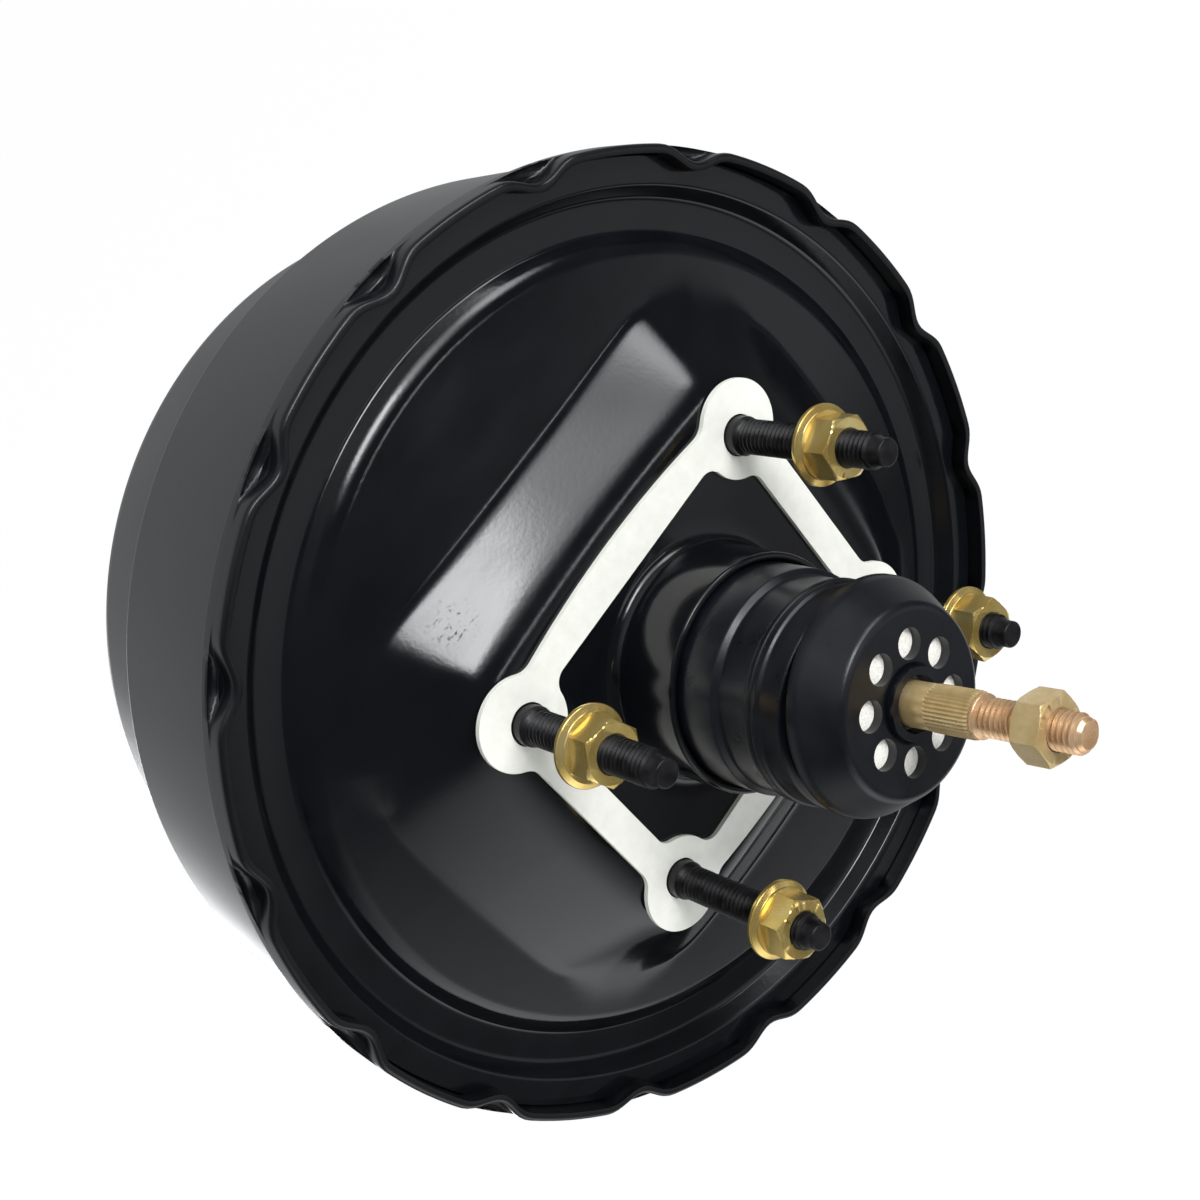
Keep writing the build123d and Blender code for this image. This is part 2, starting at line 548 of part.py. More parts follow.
def boot_cap():
    """End cap of the boot: rounded nose, ring of vents, collar round the rod, lip on the valve body."""
    collar_y = CAP_FACE_Y - CAP_COLLAR_RISE
    bore_r = ROD_SLEEVE_R + CAP_ROD_GAP
    groove_r = CAP_COLLAR_R + 2 * CAP_COLLAR_GROOVE
    nose = FilletPolyline((CAP_R, CAP_START_Y), (CAP_R, CAP_START_Y - CAP_BAND),
                          (CAP_FACE_R, CAP_FACE_Y), (groove_r, CAP_FACE_Y),
                          radius=[CAP_NOSE_ROUND, CAP_FACE_ROUND])
    inside = Polyline((groove_r, CAP_FACE_Y), (CAP_COLLAR_R, CAP_FACE_Y + CAP_COLLAR_GROOVE),
                      (CAP_COLLAR_R, collar_y), (bore_r, collar_y), (bore_r, CAP_FACE_Y + CAP_WALL),
                      (CAP_FACE_R - CAP_WALL, CAP_FACE_Y + CAP_WALL),
                      (CAP_SHOULDER_R - CAP_WALL, CAP_SHOULDER_Y + CAP_WALL / 2),
                      (CAP_SHOULDER_R - CAP_WALL, CAP_START_Y), (CAP_LIP_R, CAP_START_Y),
                      (CAP_LIP_R, CAP_GROOVE_Y), (CAP_GROOVE_R, CAP_GROOVE_Y),
                      (CAP_GROOVE_R, CAP_START_Y + EDGE_BREAK), (CAP_R, CAP_START_Y))
    body = revolve(make_face(nose + inside), Axis.Y)
    for i in range(VENT_COUNT):
        angle = radians(VENT_PHASE + 360 / VENT_COUNT * i)
        body -= disc(VENT_R, CAP_FACE_Y - CUT_PAST, CAP_FACE_Y + CAP_WALL + CUT_PAST,
                     VENT_RING_R * cos(angle), VENT_RING_R * sin(angle))
    return tilted(body)


def air_filter():
    """Felt ring behind the vents."""
    start = CAP_FACE_Y + CAP_WALL
    return tilted(disc(FILTER_R, start, start + FILTER_T)
                  - disc(ROD_SLEEVE_R + CAP_ROD_GAP, start, start + FILTER_T))


def filter_silencer():
    """Foam ring in the mouth of the valve body's tail."""
    end = VALVE_TAIL_Y + SILENCER_T
    return disc(VALVE_TAIL_BORE_R, VALVE_TAIL_Y, end) - disc(SILENCER_BORE_R, VALVE_TAIL_Y, end)


def input_rod():
    """Input rod: ball, neck, core under the sleeve, shoulder, thread and the plain land at its tip."""
    rod = turned((0, 0), (ROD_NECK_R, 0), (ROD_NECK_R, -ROD_SLEEVE_START + ROD_CORE_TAPER),
                 (ROD_CORE_R, -ROD_SLEEVE_START), (ROD_CORE_R, -ROD_KNURL_END),
                 (ROD_SLEEVE_R, -ROD_KNURL_END), (ROD_SLEEVE_R, -ROD_SHOULDER_END + ROD_SHOULDER_CHAMFER),
                 (THREAD_R, -ROD_SHOULDER_END), (THREAD_R, -ROD_LAND_START),
                 (ROD_LAND_R, -ROD_LAND_START), (ROD_LAND_R, -ROD_LENGTH + ROD_TIP_CHAMFER),
                 (ROD_LAND_R - ROD_TIP_CHAMFER, -ROD_LENGTH), (0, -ROD_LENGTH))
    return tilted(Pos(0, BALL_Y, 0) * (rod + Sphere(BALL_R)))


def rod_sleeve():
    """Adjuster sleeve on the rod: smooth barrel, then a knurled grip."""
    sleeve = turned((ROD_CORE_R, -ROD_SLEEVE_START), (ROD_SLEEVE_R, -ROD_SLEEVE_START),
                    (ROD_SLEEVE_R, -ROD_SLEEVE_END), (ROD_KNURL_R, -ROD_SLEEVE_END - ROD_KNURL_CHAMFER),
                    (ROD_KNURL_R, -ROD_KNURL_END + ROD_KNURL_CHAMFER), (ROD_SLEEVE_R, -ROD_KNURL_END),
                    (ROD_CORE_R, -ROD_KNURL_END))
    return tilted(Pos(0, BALL_Y, 0) * sleeve)


def jam_nut():
    """Hex nut on the rod's thread."""
    return tilted(Pos(0, BALL_Y - ROD_NUT_START, 0) * hex_nut(ROD_NUT_T))


def hub_seal():
    """Lip seal in the hub neck round the valve body."""
    bore_r = VALVE_BODY_R + RUNNING_GAP
    end = HUB_SEAL_Y + HUB_SEAL_T
    return turned((bore_r, HUB_SEAL_Y), (HUB_R - HUB_WALL, HUB_SEAL_Y), (HUB_R - HUB_WALL, end),
                  (bore_r + HUB_SEAL_LIP, end), (bore_r, end - HUB_SEAL_LIP_DEPTH))


def seal_retainer():
    """Stepped ring that holds the seal in the neck and carries the boot's root."""
    inner_r = VALVE_BODY_R + SEAT_GAP
    return turned((inner_r, HUB_SEAL_Y), (HUB_R - HUB_WALL, HUB_SEAL_Y),
                  (HUB_R - HUB_WALL, BOOT_ROOT_Y), (inner_r, BOOT_ROOT_Y))


def at_front(shape):
    """A check valve piece moved to its place on the front face and turned outwards."""
    return Rot(0, -CHECK_VALVE_ANGLE, 0) * Pos(CHECK_VALVE_RING_R, FRONT_FACE_Y, 0) * shape


def check_valve_grommet():
    """Rubber grommet in the front shell's hole."""
    bore_r = CHECK_STEM_R + RUNNING_GAP
    lip_r = GROMMET_GROOVE_R + GROMMET_LIP
    back = -SHEET - GROMMET_LIP_T
    return at_front(turned((bore_r, back), (lip_r, back), (lip_r, -SHEET), (GROMMET_GROOVE_R, -SHEET),
                           (GROMMET_GROOVE_R, 0), (GROMMET_R, 0), (GROMMET_R, GROMMET_FLANGE_T),
                           (bore_r, GROMMET_FLANGE_T)))


def check_valve():
    """Vacuum check valve: stem, round head and a barbed hose pipe that leaves sideways."""
    seat = GROMMET_FLANGE_T + SEAT_GAP
    head_end = seat + CHECK_HEAD_T
    back = -SHEET - GROMMET_LIP_T - CHECK_HEAD_CHAMFER
    barb_end = HOSE_BARB_START + HOSE_BARB_LAND
    body = turned((0, back), (CHECK_STEM_R, back), (CHECK_STEM_R, seat), (CHECK_HEAD_R, seat),
                  (CHECK_HEAD_R, head_end - CHECK_HEAD_CHAMFER),
                  (CHECK_HEAD_R - CHECK_HEAD_CHAMFER, head_end), (0, head_end))
    pipe = turned((0, 0), (HOSE_PIPE_R, 0), (HOSE_PIPE_R, HOSE_BARB_START),
                  (HOSE_BARB_R, HOSE_BARB_START), (HOSE_BARB_R, barb_end),
                  (HOSE_PIPE_R, HOSE_PIPE_LENGTH), (0, HOSE_PIPE_LENGTH))
    start = Pos(CHECK_HEAD_R - SHEET, seat + CHECK_HEAD_T / 2, 0) * Rot(0, 0, -90)
    body += start * pipe
    body -= start * disc(HOSE_BORE_R, 0, HOSE_PIPE_LENGTH + CUT_PAST)
    return at_front(body)


def master_studs():
    """Two weld studs for the master cylinder."""
    pad_y = FRONT_FACE_Y + FRONT_PAD_RISE
    back = pad_y - SHEET - FRONT_PLATE_T
    taper_y = pad_y + MASTER_COLLAR_LENGTH + STUD_TAPER_LENGTH
    end = pad_y + MASTER_STUD_LENGTH
    body = turned((0, back - STUD_WELD_HEAD_T), (STUD_WELD_HEAD_R, back - STUD_WELD_HEAD_T),
                  (STUD_WELD_HEAD_R, back), (STUD_SHANK_R, back), (STUD_SHANK_R, pad_y),
                  (STUD_COLLAR_R, pad_y), (STUD_COLLAR_R, pad_y + MASTER_COLLAR_LENGTH),
                  (THREAD_R, taper_y), (THREAD_R, end - MASTER_TIP_CHAMFER),
                  (THREAD_R - MASTER_TIP_CHAMFER, end), (0, end))
    half = MASTER_SPACING_X / 2
    return Compound(children=[Pos(x, 0, 0) * body for x in (-half, half)])


def front_plate():
    """Ring behind the front pad that carries the master cylinder studs and the return spring."""
    end = FRONT_FACE_Y + FRONT_PAD_RISE - SHEET
    start = end - FRONT_PLATE_T
    ring = disc(FRONT_PLATE_R, start, end) - disc(SPIGOT_BORE_R + SHEET + SEAT_GAP, start, end)
    half = MASTER_SPACING_X / 2
    for x in (-half, half):
        ring -= disc(STUD_SHANK_R, start, end, x, 0)
    return ring


def front_seal():
    """Lip seal in the front bore for the master cylinder's spigot."""
    start = FRONT_FACE_Y + FRONT_PAD_RISE - SPIGOT_COLLAR_DEPTH + EDGE_BREAK
    end = start + FRONT_SEAL_T
    return turned((FRONT_SEAL_BORE_R, start), (SPIGOT_BORE_R, start), (SPIGOT_BORE_R, end),
                  (FRONT_SEAL_BORE_R + FRONT_SEAL_LIP, end),
                  (FRONT_SEAL_BORE_R, end - FRONT_SEAL_LIP_DEPTH))


def return_spring():
    """Main return spring, from the diaphragm plate to the front plate."""
    end = FRONT_FACE_Y + FRONT_PAD_RISE - SHEET - FRONT_PLATE_T
    return spring(RETURN_SPRING_R, RETURN_SPRING_WIRE_R, RETURN_SPRING_COILS, PLATE_Y + PLATE_WALL, end)


def rod_retainer():
    """Sheet ring that keeps the output rod's head in the valve body."""
    start = VALVE_HEAD_Y + VALVE_HEAD_T
    end = start + ROD_RETAINER_T
    return disc(VALVE_HEAD_R - EDGE_BREAK, start, end) - disc(OUTPUT_ROD_R + SEAT_GAP, start, end)


def reaction_disc():
    """Rubber disc between the plunger and the output rod."""
    start = VALVE_HEAD_Y + VALVE_HEAD_T - OUTPUT_ROD_HEAD_T - DISC_T
    return disc(DISC_R, start, start + DISC_T)


def poppet_spring():
    """Light spring that seats the poppet."""
    end = VALVE_SEAT_Y - POPPET_T
    return spring(POPPET_SPRING_R, POPPET_SPRING_WIRE_R, POPPET_SPRING_COILS,
                  end - POPPET_SPRING_LENGTH, end)


os.makedirs("parts", exist_ok=True)
parts = {
    "front_shell": front_shell(),
    "rear_shell": rear_shell(),
    "mounting_gasket": gasket(),
    "bulkhead_studs": at_studs(stud),
    "flange_nuts": flange_nuts(),
    "stud_plate": stud_plate(),
    "hub_seal": hub_seal(),
    "seal_retainer": seal_retainer(),
    "front_plate": front_plate(),
    "master_studs": master_studs(),
    "front_seal": front_seal(),
    "check_valve_grommet": check_valve_grommet(),
    "check_valve": check_valve(),
    "diaphragm": diaphragm(),
    "support_plate": support_plate(),
    "valve_body": valve_body(),
    "return_spring": return_spring(),
    "reaction_disc": reaction_disc(),
    "output_rod": output_rod(),
    "rod_retainer": rod_retainer(),
    "stop_key": stop_key(),
    "poppet": poppet(),
    "poppet_spring": poppet_spring(),
    "poppet_retainer": poppet_retainer(),
    "filter_silencer": filter_silencer(),
    "air_filter": air_filter(),
    "boot_bellows": boot_bellows(),
    "boot_cap": boot_cap(),
    "valve_plunger": plunger(),
    "input_rod": input_rod(),
    "rod_sleeve": rod_sleeve(),
    "jam_nut": jam_nut(),
}
for name, shape in parts.items():
    export_step(shape, f"parts/{name}.step")
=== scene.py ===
import json
from math import atan2, cos, hypot, pi, radians, sin, sqrt, tan

import bmesh
import bpy
from bpy.props import FloatProperty, IntProperty, PointerProperty, StringProperty
from mathutils import Matrix, Vector


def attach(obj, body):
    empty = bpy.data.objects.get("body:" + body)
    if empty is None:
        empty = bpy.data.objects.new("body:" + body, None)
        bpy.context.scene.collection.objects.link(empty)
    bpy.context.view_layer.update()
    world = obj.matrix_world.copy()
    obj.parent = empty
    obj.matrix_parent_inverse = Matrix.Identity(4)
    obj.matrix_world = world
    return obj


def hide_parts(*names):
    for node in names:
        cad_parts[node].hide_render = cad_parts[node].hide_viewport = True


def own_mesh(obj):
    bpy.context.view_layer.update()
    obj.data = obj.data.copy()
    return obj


bl_info = {
    "name": "Brake Booster",
    "version": (1, 0, 0),
    "blender": (4, 5, 0),
    "location": "3D View > Sidebar > Booster",
    "description": "Builds the pressed shells, fasteners, boot and finishes of a vacuum brake booster",
    "category": "Add Mesh",
}

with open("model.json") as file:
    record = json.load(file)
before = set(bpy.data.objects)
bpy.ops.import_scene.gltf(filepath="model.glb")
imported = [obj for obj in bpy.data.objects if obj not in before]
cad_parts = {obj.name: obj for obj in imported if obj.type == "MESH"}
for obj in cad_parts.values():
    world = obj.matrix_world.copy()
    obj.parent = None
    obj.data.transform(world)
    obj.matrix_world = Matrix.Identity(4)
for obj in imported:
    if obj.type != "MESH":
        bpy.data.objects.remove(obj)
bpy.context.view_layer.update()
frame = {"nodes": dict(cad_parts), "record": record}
MM = 0.001

# Shapes shared with the construction, in millimetres. Y runs along the booster's axis into the engine bay.
GASKET_T = 1.2
SHEET = 2.0
HUB_R = 26.4
HUB_BORE_R = 24.8
HUB_LIP_Y = -17.5
FLANGE_Y = 18.6
FLANGE_R = 109.4
RIM_R = 111.8
RIM_TOP_Y = 14.1
STUD_X = 40.0
STUD_Z = 30.0
STUD_LENGTH = 43.8
THREAD_R = 3.9
NUT_AF = 12.6
NUT_FLANGE_R = 8.7
BALL_Y = -25.0
ROD_TILT = 3.53
ROD_TILT_TOWARDS = 33.5


# ---------------------------------------------------------------- sizes and colours a user may change

class BoosterShellSizes(bpy.types.PropertyGroup):
    """How the two pressed shells are drawn."""
    crimp_depth: FloatProperty(name="Crimp depth", description="How far each lance is pushed in",
                               default=3.3 * MM, min=0.0, unit="LENGTH")
    crimp_width: FloatProperty(name="Crimp width", description="Width of a lance along the rim",
                               default=22.0 * MM, min=0.001, unit="LENGTH")
    pad_blend: FloatProperty(name="Pad blend", description="Size of the round at the foot of the stud pad",
                             default=0.9 * MM, min=0.0001, unit="LENGTH")
    steps: IntProperty(name="Steps", description="Faces round each shell", default=480, min=96, max=720)


class BoosterFastenerSizes(bpy.types.PropertyGroup):
    """Threads, nuts and the knurled grip."""
    pitch: FloatProperty(name="Thread pitch", description="Distance between thread crests",
                         default=1.25 * MM, min=0.0005, unit="LENGTH")
    thread_depth: FloatProperty(name="Thread depth", description="Depth of the thread's flanks",
                                default=0.62 * MM, min=0.0, unit="LENGTH")
    knurls: IntProperty(name="Knurls", description="Ridges round the grip", default=36, min=8, max=90)
    knurl_depth: FloatProperty(name="Knurl depth", description="Height of a ridge",
                               default=0.4 * MM, min=0.0, unit="LENGTH")


class BoosterColours(bpy.types.PropertyGroup):
    """Colours as sRGB hex."""
    enamel: StringProperty(name="Enamel", description="Black paint of both shells", default="060709")
    gasket: StringProperty(name="Gasket", description="Fibre gasket", default="C3C4BE")
    zinc: StringProperty(name="Yellow zinc", description="Yellow passivated nuts", default="DDC174")
    rubber: StringProperty(name="Boot rubber", description="Moulded boot", default="07080C")
    felt: StringProperty(name="Felt", description="Air filter", default="E4E3DD")


# ---------------------------------------------------------------- outlines

NEARLY_ZERO = 1e-6
LEAST_RUN = 1e-9
MITRE_LIMIT = 0.5


def rounded(points, arc_steps=5):
    """An outline of (radius, y) or (radius, y, round) points, with an arc drawn at each rounded corner."""
    out = []
    for i, point in enumerate(points):
        corner = Vector(point[:2])
        if len(point) < 3 or i in (0, len(points) - 1):
            out.append(corner)
            continue
        before = (Vector(points[i - 1][:2]) - corner).normalized()
        after = (Vector(points[i + 1][:2]) - corner).normalized()
        half = before.angle(after) / 2
        reach = point[2] / tan(half)
        centre = corner + (before + after).normalized() * (point[2] / sin(half))
        start = corner + before * reach - centre
        turn = pi - 2 * half
        if before.cross(after) > 0:
            turn = -turn
        for k in range(arc_steps + 1):
            angle = turn * k / arc_steps
            c, s = cos(angle), sin(angle)
            out.append(centre + Vector((start.x * c - start.y * s, start.x * s + start.y * c)))
    return out


def inset_line(line, wall):
    """The line moved sideways by a wall, to the left of its direction."""
    out = []
    for i, point in enumerate(line):
        back = point - line[max(i - 1, 0)]
        ahead = line[min(i + 1, len(line) - 1)] - point
        directions = [d.normalized() for d in (back, ahead) if d.length > NEARLY_ZERO]
        normals = [Vector((-d.y, d.x)) for d in directions]
        mean = sum(normals, Vector((0, 0))).normalized()
        out.append(point + mean * wall / max(mean.dot(normals[0]), MITRE_LIMIT))
    return out


def stretch(start, end, count):
    """Evenly spaced points from start to end, both kept."""
    a, b = Vector(start), Vector(end)
    return [a.lerp(b, i / count) for i in range(count + 1)]


def height_at(line, radius):
    """The y of a line of (radius, y) points at a radius."""
    for a, b in zip(line, line[1:]):
        if a.x <= radius <= b.x:
            return a.y + (b.y - a.y) * (radius - a.x) / max(b.x - a.x, LEAST_RUN)
    return line[-1].y if radius > line[-1].x else line[0].y


# ---------------------------------------------------------------- turned pieces

SECTORS = 8
WELD = 2e-6


def spun(line, steps, closed=True):
    """A bmesh turned about the Y axis from a line of (radius, y) points in millimetres.

    One sector is turned and then repeated, because a long spin is slow.
    """
    bm = bmesh.new()
    verts = [bm.verts.new((p[0] * MM, p[1] * MM, 0)) for p in line]
    edges = [bm.edges.new(pair) for pair in zip(verts, verts[1:])]
    if closed:
        edges.append(bm.edges.new((verts[-1], verts[0])))
    axis = {"cent": (0, 0, 0), "axis": (0, 1, 0), "dvec": (0, 0, 0)}
    bmesh.ops.spin(bm, geom=verts + edges, angle=2 * pi / SECTORS, steps=steps // SECTORS, **axis)
    bmesh.ops.spin(bm, geom=bm.verts[:] + bm.edges[:] + bm.faces[:], angle=2 * pi, steps=SECTORS,
                   use_duplicate=True, **axis)
    bmesh.ops.remove_doubles(bm, verts=bm.verts, dist=WELD)
    bmesh.ops.recalc_face_normals(bm, faces=bm.faces)
    return bm


def reshape(bm, move):
    """Moves every vertex: move takes (radius, y, angle) in millimetres and returns the same."""
    for vert in bm.verts:
        x, y, z = vert.co / MM
        radius, height, angle = move(hypot(x, z), y, atan2(z, x))
        vert.co = Vector((radius * cos(angle), height, radius * sin(angle))) * MM


def placed(bm, matrix):
    """The bmesh moved by a matrix."""
    bmesh.ops.transform(bm, matrix=matrix, verts=bm.verts)
    return bm


def joined(parts):
    """One bmesh from several."""
    out = bmesh.new()
    for part in parts:
        mesh = bpy.data.meshes.new("part")
        part.to_mesh(mesh)
        part.free()
        out.from_mesh(mesh)
        bpy.data.meshes.remove(mesh)
    return out


def piece(name, bm, body, slot, nodes, sharp):
    """Makes the finished object, smooth except at edges past an angle, and ties it to its body and nodes."""
    for face in bm.faces:
        face.smooth = True
    for edge in bm.edges:
        if len(edge.link_faces) == 2 and edge.calc_face_angle(0) > radians(sharp):
            edge.smooth = False
    mesh = bpy.data.meshes.new(name)
    bm.to_mesh(mesh)
    bm.free()
    mesh.materials.append(finishes()[slot])
    obj = bpy.data.objects.new(name, mesh)
    bpy.context.scene.collection.objects.link(obj)
    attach(obj, body)
    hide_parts(*nodes)
    return obj


def rod_matrix(along=0.0):
    """Places a piece built along -Y on the leaning input rod, some way along it."""
    towards = radians(ROD_TILT_TOWARDS)
    lean = Matrix.Rotation(radians(ROD_TILT), 4, Vector((-sin(towards), 0, cos(towards))))
    return Matrix.Translation((0, BALL_Y * MM, 0)) @ lean @ Matrix.Translation((0, -along * MM, 0))


# ---------------------------------------------------------------- materials

def linear(hex_text):
    """A linear colour from sRGB hex."""
    channels = [int(hex_text[i:i + 2], 16) / 255 for i in (0, 2, 4)]
    return tuple(c / 12.92 if c <= 0.04045 else ((c + 0.055) / 1.055) ** 2.4 for c in channels) + (1.0,)


def add(tree, kind, settings=None, stops=None, **links):
    """Adds one node with its settings, its (position, hex) stops, and its inputs as values or sockets."""
    node = tree.nodes.new(kind)
    for key, value in (settings or {}).items():
        setattr(node, key, value)
    if stops:
        elements = node.color_ramp.elements
        elements[0].position, elements[0].color = stops[0][0], linear(stops[0][1])
        elements[1].position, elements[1].color = stops[-1][0], linear(stops[-1][1])
        for position, colour in stops[1:-1]:
            elements.new(position).color = linear(colour)
    for key, value in links.items():
        name = key.replace("_", " ")
        socket = node.inputs[int(key[1:])] if key[0] == "i" and key[1:].isdigit() else node.inputs[name]
        if isinstance(value, bpy.types.NodeSocket):
            tree.links.new(value, socket)
        else:
            socket.default_value = value
    return node


def blank(name):
    """An empty material and its node tree."""
    material = bpy.data.materials.new(name)
    material.use_nodes = True
    material.node_tree.nodes.clear()
    return material, material.node_tree


def surface(tree, **inputs):
    """Gives the material its surface: a principled shader and the output."""
    shader = add(tree, "ShaderNodeBsdfPrincipled", **inputs)
    add(tree, "ShaderNodeOutputMaterial", i0=shader.outputs[0])


def grain(tree, size_mm, detail, rough=0.55, stretch_by=(1, 1, 1)):
    """Noise whose lumps are about a size in millimetres."""
    where = add(tree, "ShaderNodeTexCoord").outputs["Object"]
    mapped = add(tree, "ShaderNodeMapping", Vector=where, Scale=stretch_by).outputs[0]
    return add(tree, "ShaderNodeTexNoise", Vector=mapped, Scale=1.0 / (size_mm * MM),
               Detail=detail, Roughness=rough).outputs["Fac"]


def texture(tree, size_mm, detail, depth_mm):
    """The normals of a fine texture: lumps of a size, and a depth, in millimetres."""
    height = grain(tree, size_mm, detail)
    return add(tree, "ShaderNodeBump", Strength=1.0, Distance=depth_mm * MM, Height=height).outputs[0]


SCUFF_PLACE = Vector((-34, 9, 54)) * MM
SCUFF_R = 6.5
SCUFF_CORE = 0.3
GLOSS_LEVEL = 0.5
RUBBED_LEVEL = 0.06


def scuff(tree):
    """How rubbed the paint is: broken marks inside one patch on the long flank of the pad, none elsewhere."""
    where = add(tree, "ShaderNodeTexCoord").outputs["Object"]
    away = add(tree, "ShaderNodeVectorMath", {"operation": "DISTANCE"}, i0=where, i1=SCUFF_PLACE)
    inside = add(tree, "ShaderNodeMapRange", Value=away.outputs["Value"], From_Min=SCUFF_R * MM * SCUFF_CORE,
                 From_Max=SCUFF_R * MM, To_Min=1.0, To_Max=0.0)
    scratches = grain(tree, 1.5, detail=6, rough=0.75, stretch_by=(1, 1, 2))
    marks = add(tree, "ShaderNodeMapRange", Value=scratches, From_Min=0.55, From_Max=0.62,
                To_Min=0.0, To_Max=1.0)
    rubbed = add(tree, "ShaderNodeMath", {"operation": "MULTIPLY"}, i0=inside.outputs[0],
                 i1=marks.outputs[0])
    return rubbed.outputs[0]


def gloss_enamel(colours):
    """Black stoving enamel on pressed steel: deep gloss, a faint orange peel and handling smears."""
    material, tree = blank("black stoving enamel")
    smear = grain(tree, 22, detail=4, rough=0.6, stretch_by=(1, 1, 2.5))
    colour = add(tree, "ShaderNodeValToRGB", stops=[(0.3, colours.enamel), (0.75, "0A0B0E")], Fac=smear)
    rough = add(tree, "ShaderNodeMapRange", Value=smear, From_Min=0.3, From_Max=0.7, To_Min=0.10, To_Max=0.17)
    level = add(tree, "ShaderNodeMapRange", Value=scuff(tree), From_Min=0.0, From_Max=1.0,
                To_Min=GLOSS_LEVEL, To_Max=RUBBED_LEVEL)
    surface(tree, Base_Color=colour.outputs["Color"], Roughness=rough.outputs[0],
            Specular_IOR_Level=level.outputs[0], Normal=texture(tree, 1.0, detail=2, depth_mm=0.013))
    return material


def satin_enamel(colours):
    """Black enamel on the drawn front shell: a little flatter, with draw marks along the axis."""
    material, tree = blank("satin black enamel")
    smear = grain(tree, 30, detail=3, rough=0.5, stretch_by=(1, 0.4, 1))
    colour = add(tree, "ShaderNodeValToRGB", stops=[(0.3, colours.enamel), (0.8, "0D0E11")], Fac=smear)
    rough = add(tree, "ShaderNodeMapRange", Value=smear, From_Min=0.3, From_Max=0.7, To_Min=0.28, To_Max=0.33)
    surface(tree, Base_Color=colour.outputs["Color"], Roughness=rough.outputs[0],
            Normal=texture(tree, 1.2, detail=2, depth_mm=0.015))
    return material


def fibre_gasket(colours):
    """Compressed off-white fibre sheet: matt, faintly mottled, with the fibres just visible."""
    material, tree = blank("compressed fibre gasket")
    mottle = grain(tree, 3.0, detail=4)
    colour = add(tree, "ShaderNodeValToRGB", stops=[(0.3, "BBBCB6"), (0.7, colours.gasket)], Fac=mottle)
    surface(tree, Base_Color=colour.outputs["Color"], Roughness=0.78,
            Normal=texture(tree, 0.35, detail=3, depth_mm=0.05))
    return material


def black_oxide():
    """Hot-blacked steel: near black, low sheen, lighter where the tool has rubbed."""
    material, tree = blank("black oxide steel")
    patch = grain(tree, 2.5, detail=4)
    colour = add(tree, "ShaderNodeValToRGB", stops=[(0.35, "0B0B0C"), (0.8, "1D1D20")], Fac=patch)
    rough = add(tree, "ShaderNodeMapRange", Value=patch, From_Min=0.3, From_Max=0.7, To_Min=0.28, To_Max=0.45)
    surface(tree, Base_Color=colour.outputs["Color"], Metallic=0.35, Roughness=rough.outputs[0],
            Normal=texture(tree, 0.3, detail=2, depth_mm=0.01))
    return material


def plated(name, low, middle, high, roughness=(0.2, 0.36), patch_mm=3.0, metallic=1.0):
    """Passivated zinc on machined steel: a metal with cloudy colour and fine tool marks."""
    material, tree = blank(name)
    cloud = grain(tree, patch_mm, detail=4, rough=0.6)
    colour = add(tree, "ShaderNodeValToRGB", stops=[(0.3, low), (0.5, middle), (0.72, high)], Fac=cloud)
    rough = add(tree, "ShaderNodeMapRange", Value=cloud, From_Min=0.3, From_Max=0.7,
                To_Min=roughness[1], To_Max=roughness[0])
    surface(tree, Base_Color=colour.outputs["Color"], Metallic=metallic, Roughness=rough.outputs[0],
            Normal=texture(tree, 0.25, detail=2, depth_mm=0.006))
    return material


def moulded(name, base, light, roughness):
    """Moulded rubber or plastic: an even skin with a fine mould texture."""
    material, tree = blank(name)
    patch = grain(tree, 8.0, detail=4)
    colour = add(tree, "ShaderNodeValToRGB", stops=[(0.3, base), (0.75, light)], Fac=patch)
    rough = add(tree, "ShaderNodeMapRange", Value=patch, From_Min=0.3, From_Max=0.7,
                To_Min=roughness[0], To_Max=roughness[1])
    surface(tree, Base_Color=colour.outputs["Color"], Roughness=rough.outputs[0],
            Normal=texture(tree, 0.5, detail=2, depth_mm=0.02))
    return material


def fibrous(name, base, light, fibre_mm, depth_mm):
    """Felt or open foam: soft, very rough, with deep fine texture."""
    material, tree = blank(name)
    fibre = grain(tree, fibre_mm, detail=5, rough=0.7)
    colour = add(tree, "ShaderNodeValToRGB", stops=[(0.3, base), (0.7, light)], Fac=fibre)
    depth = add(tree, "ShaderNodeBump", Strength=1.0, Distance=depth_mm * MM, Height=fibre)
    surface(tree, Base_Color=colour.outputs["Color"], Roughness=0.95, Sheen_Weight=0.3,
            Normal=depth.outputs[0])
    return material


FINISHES = {}


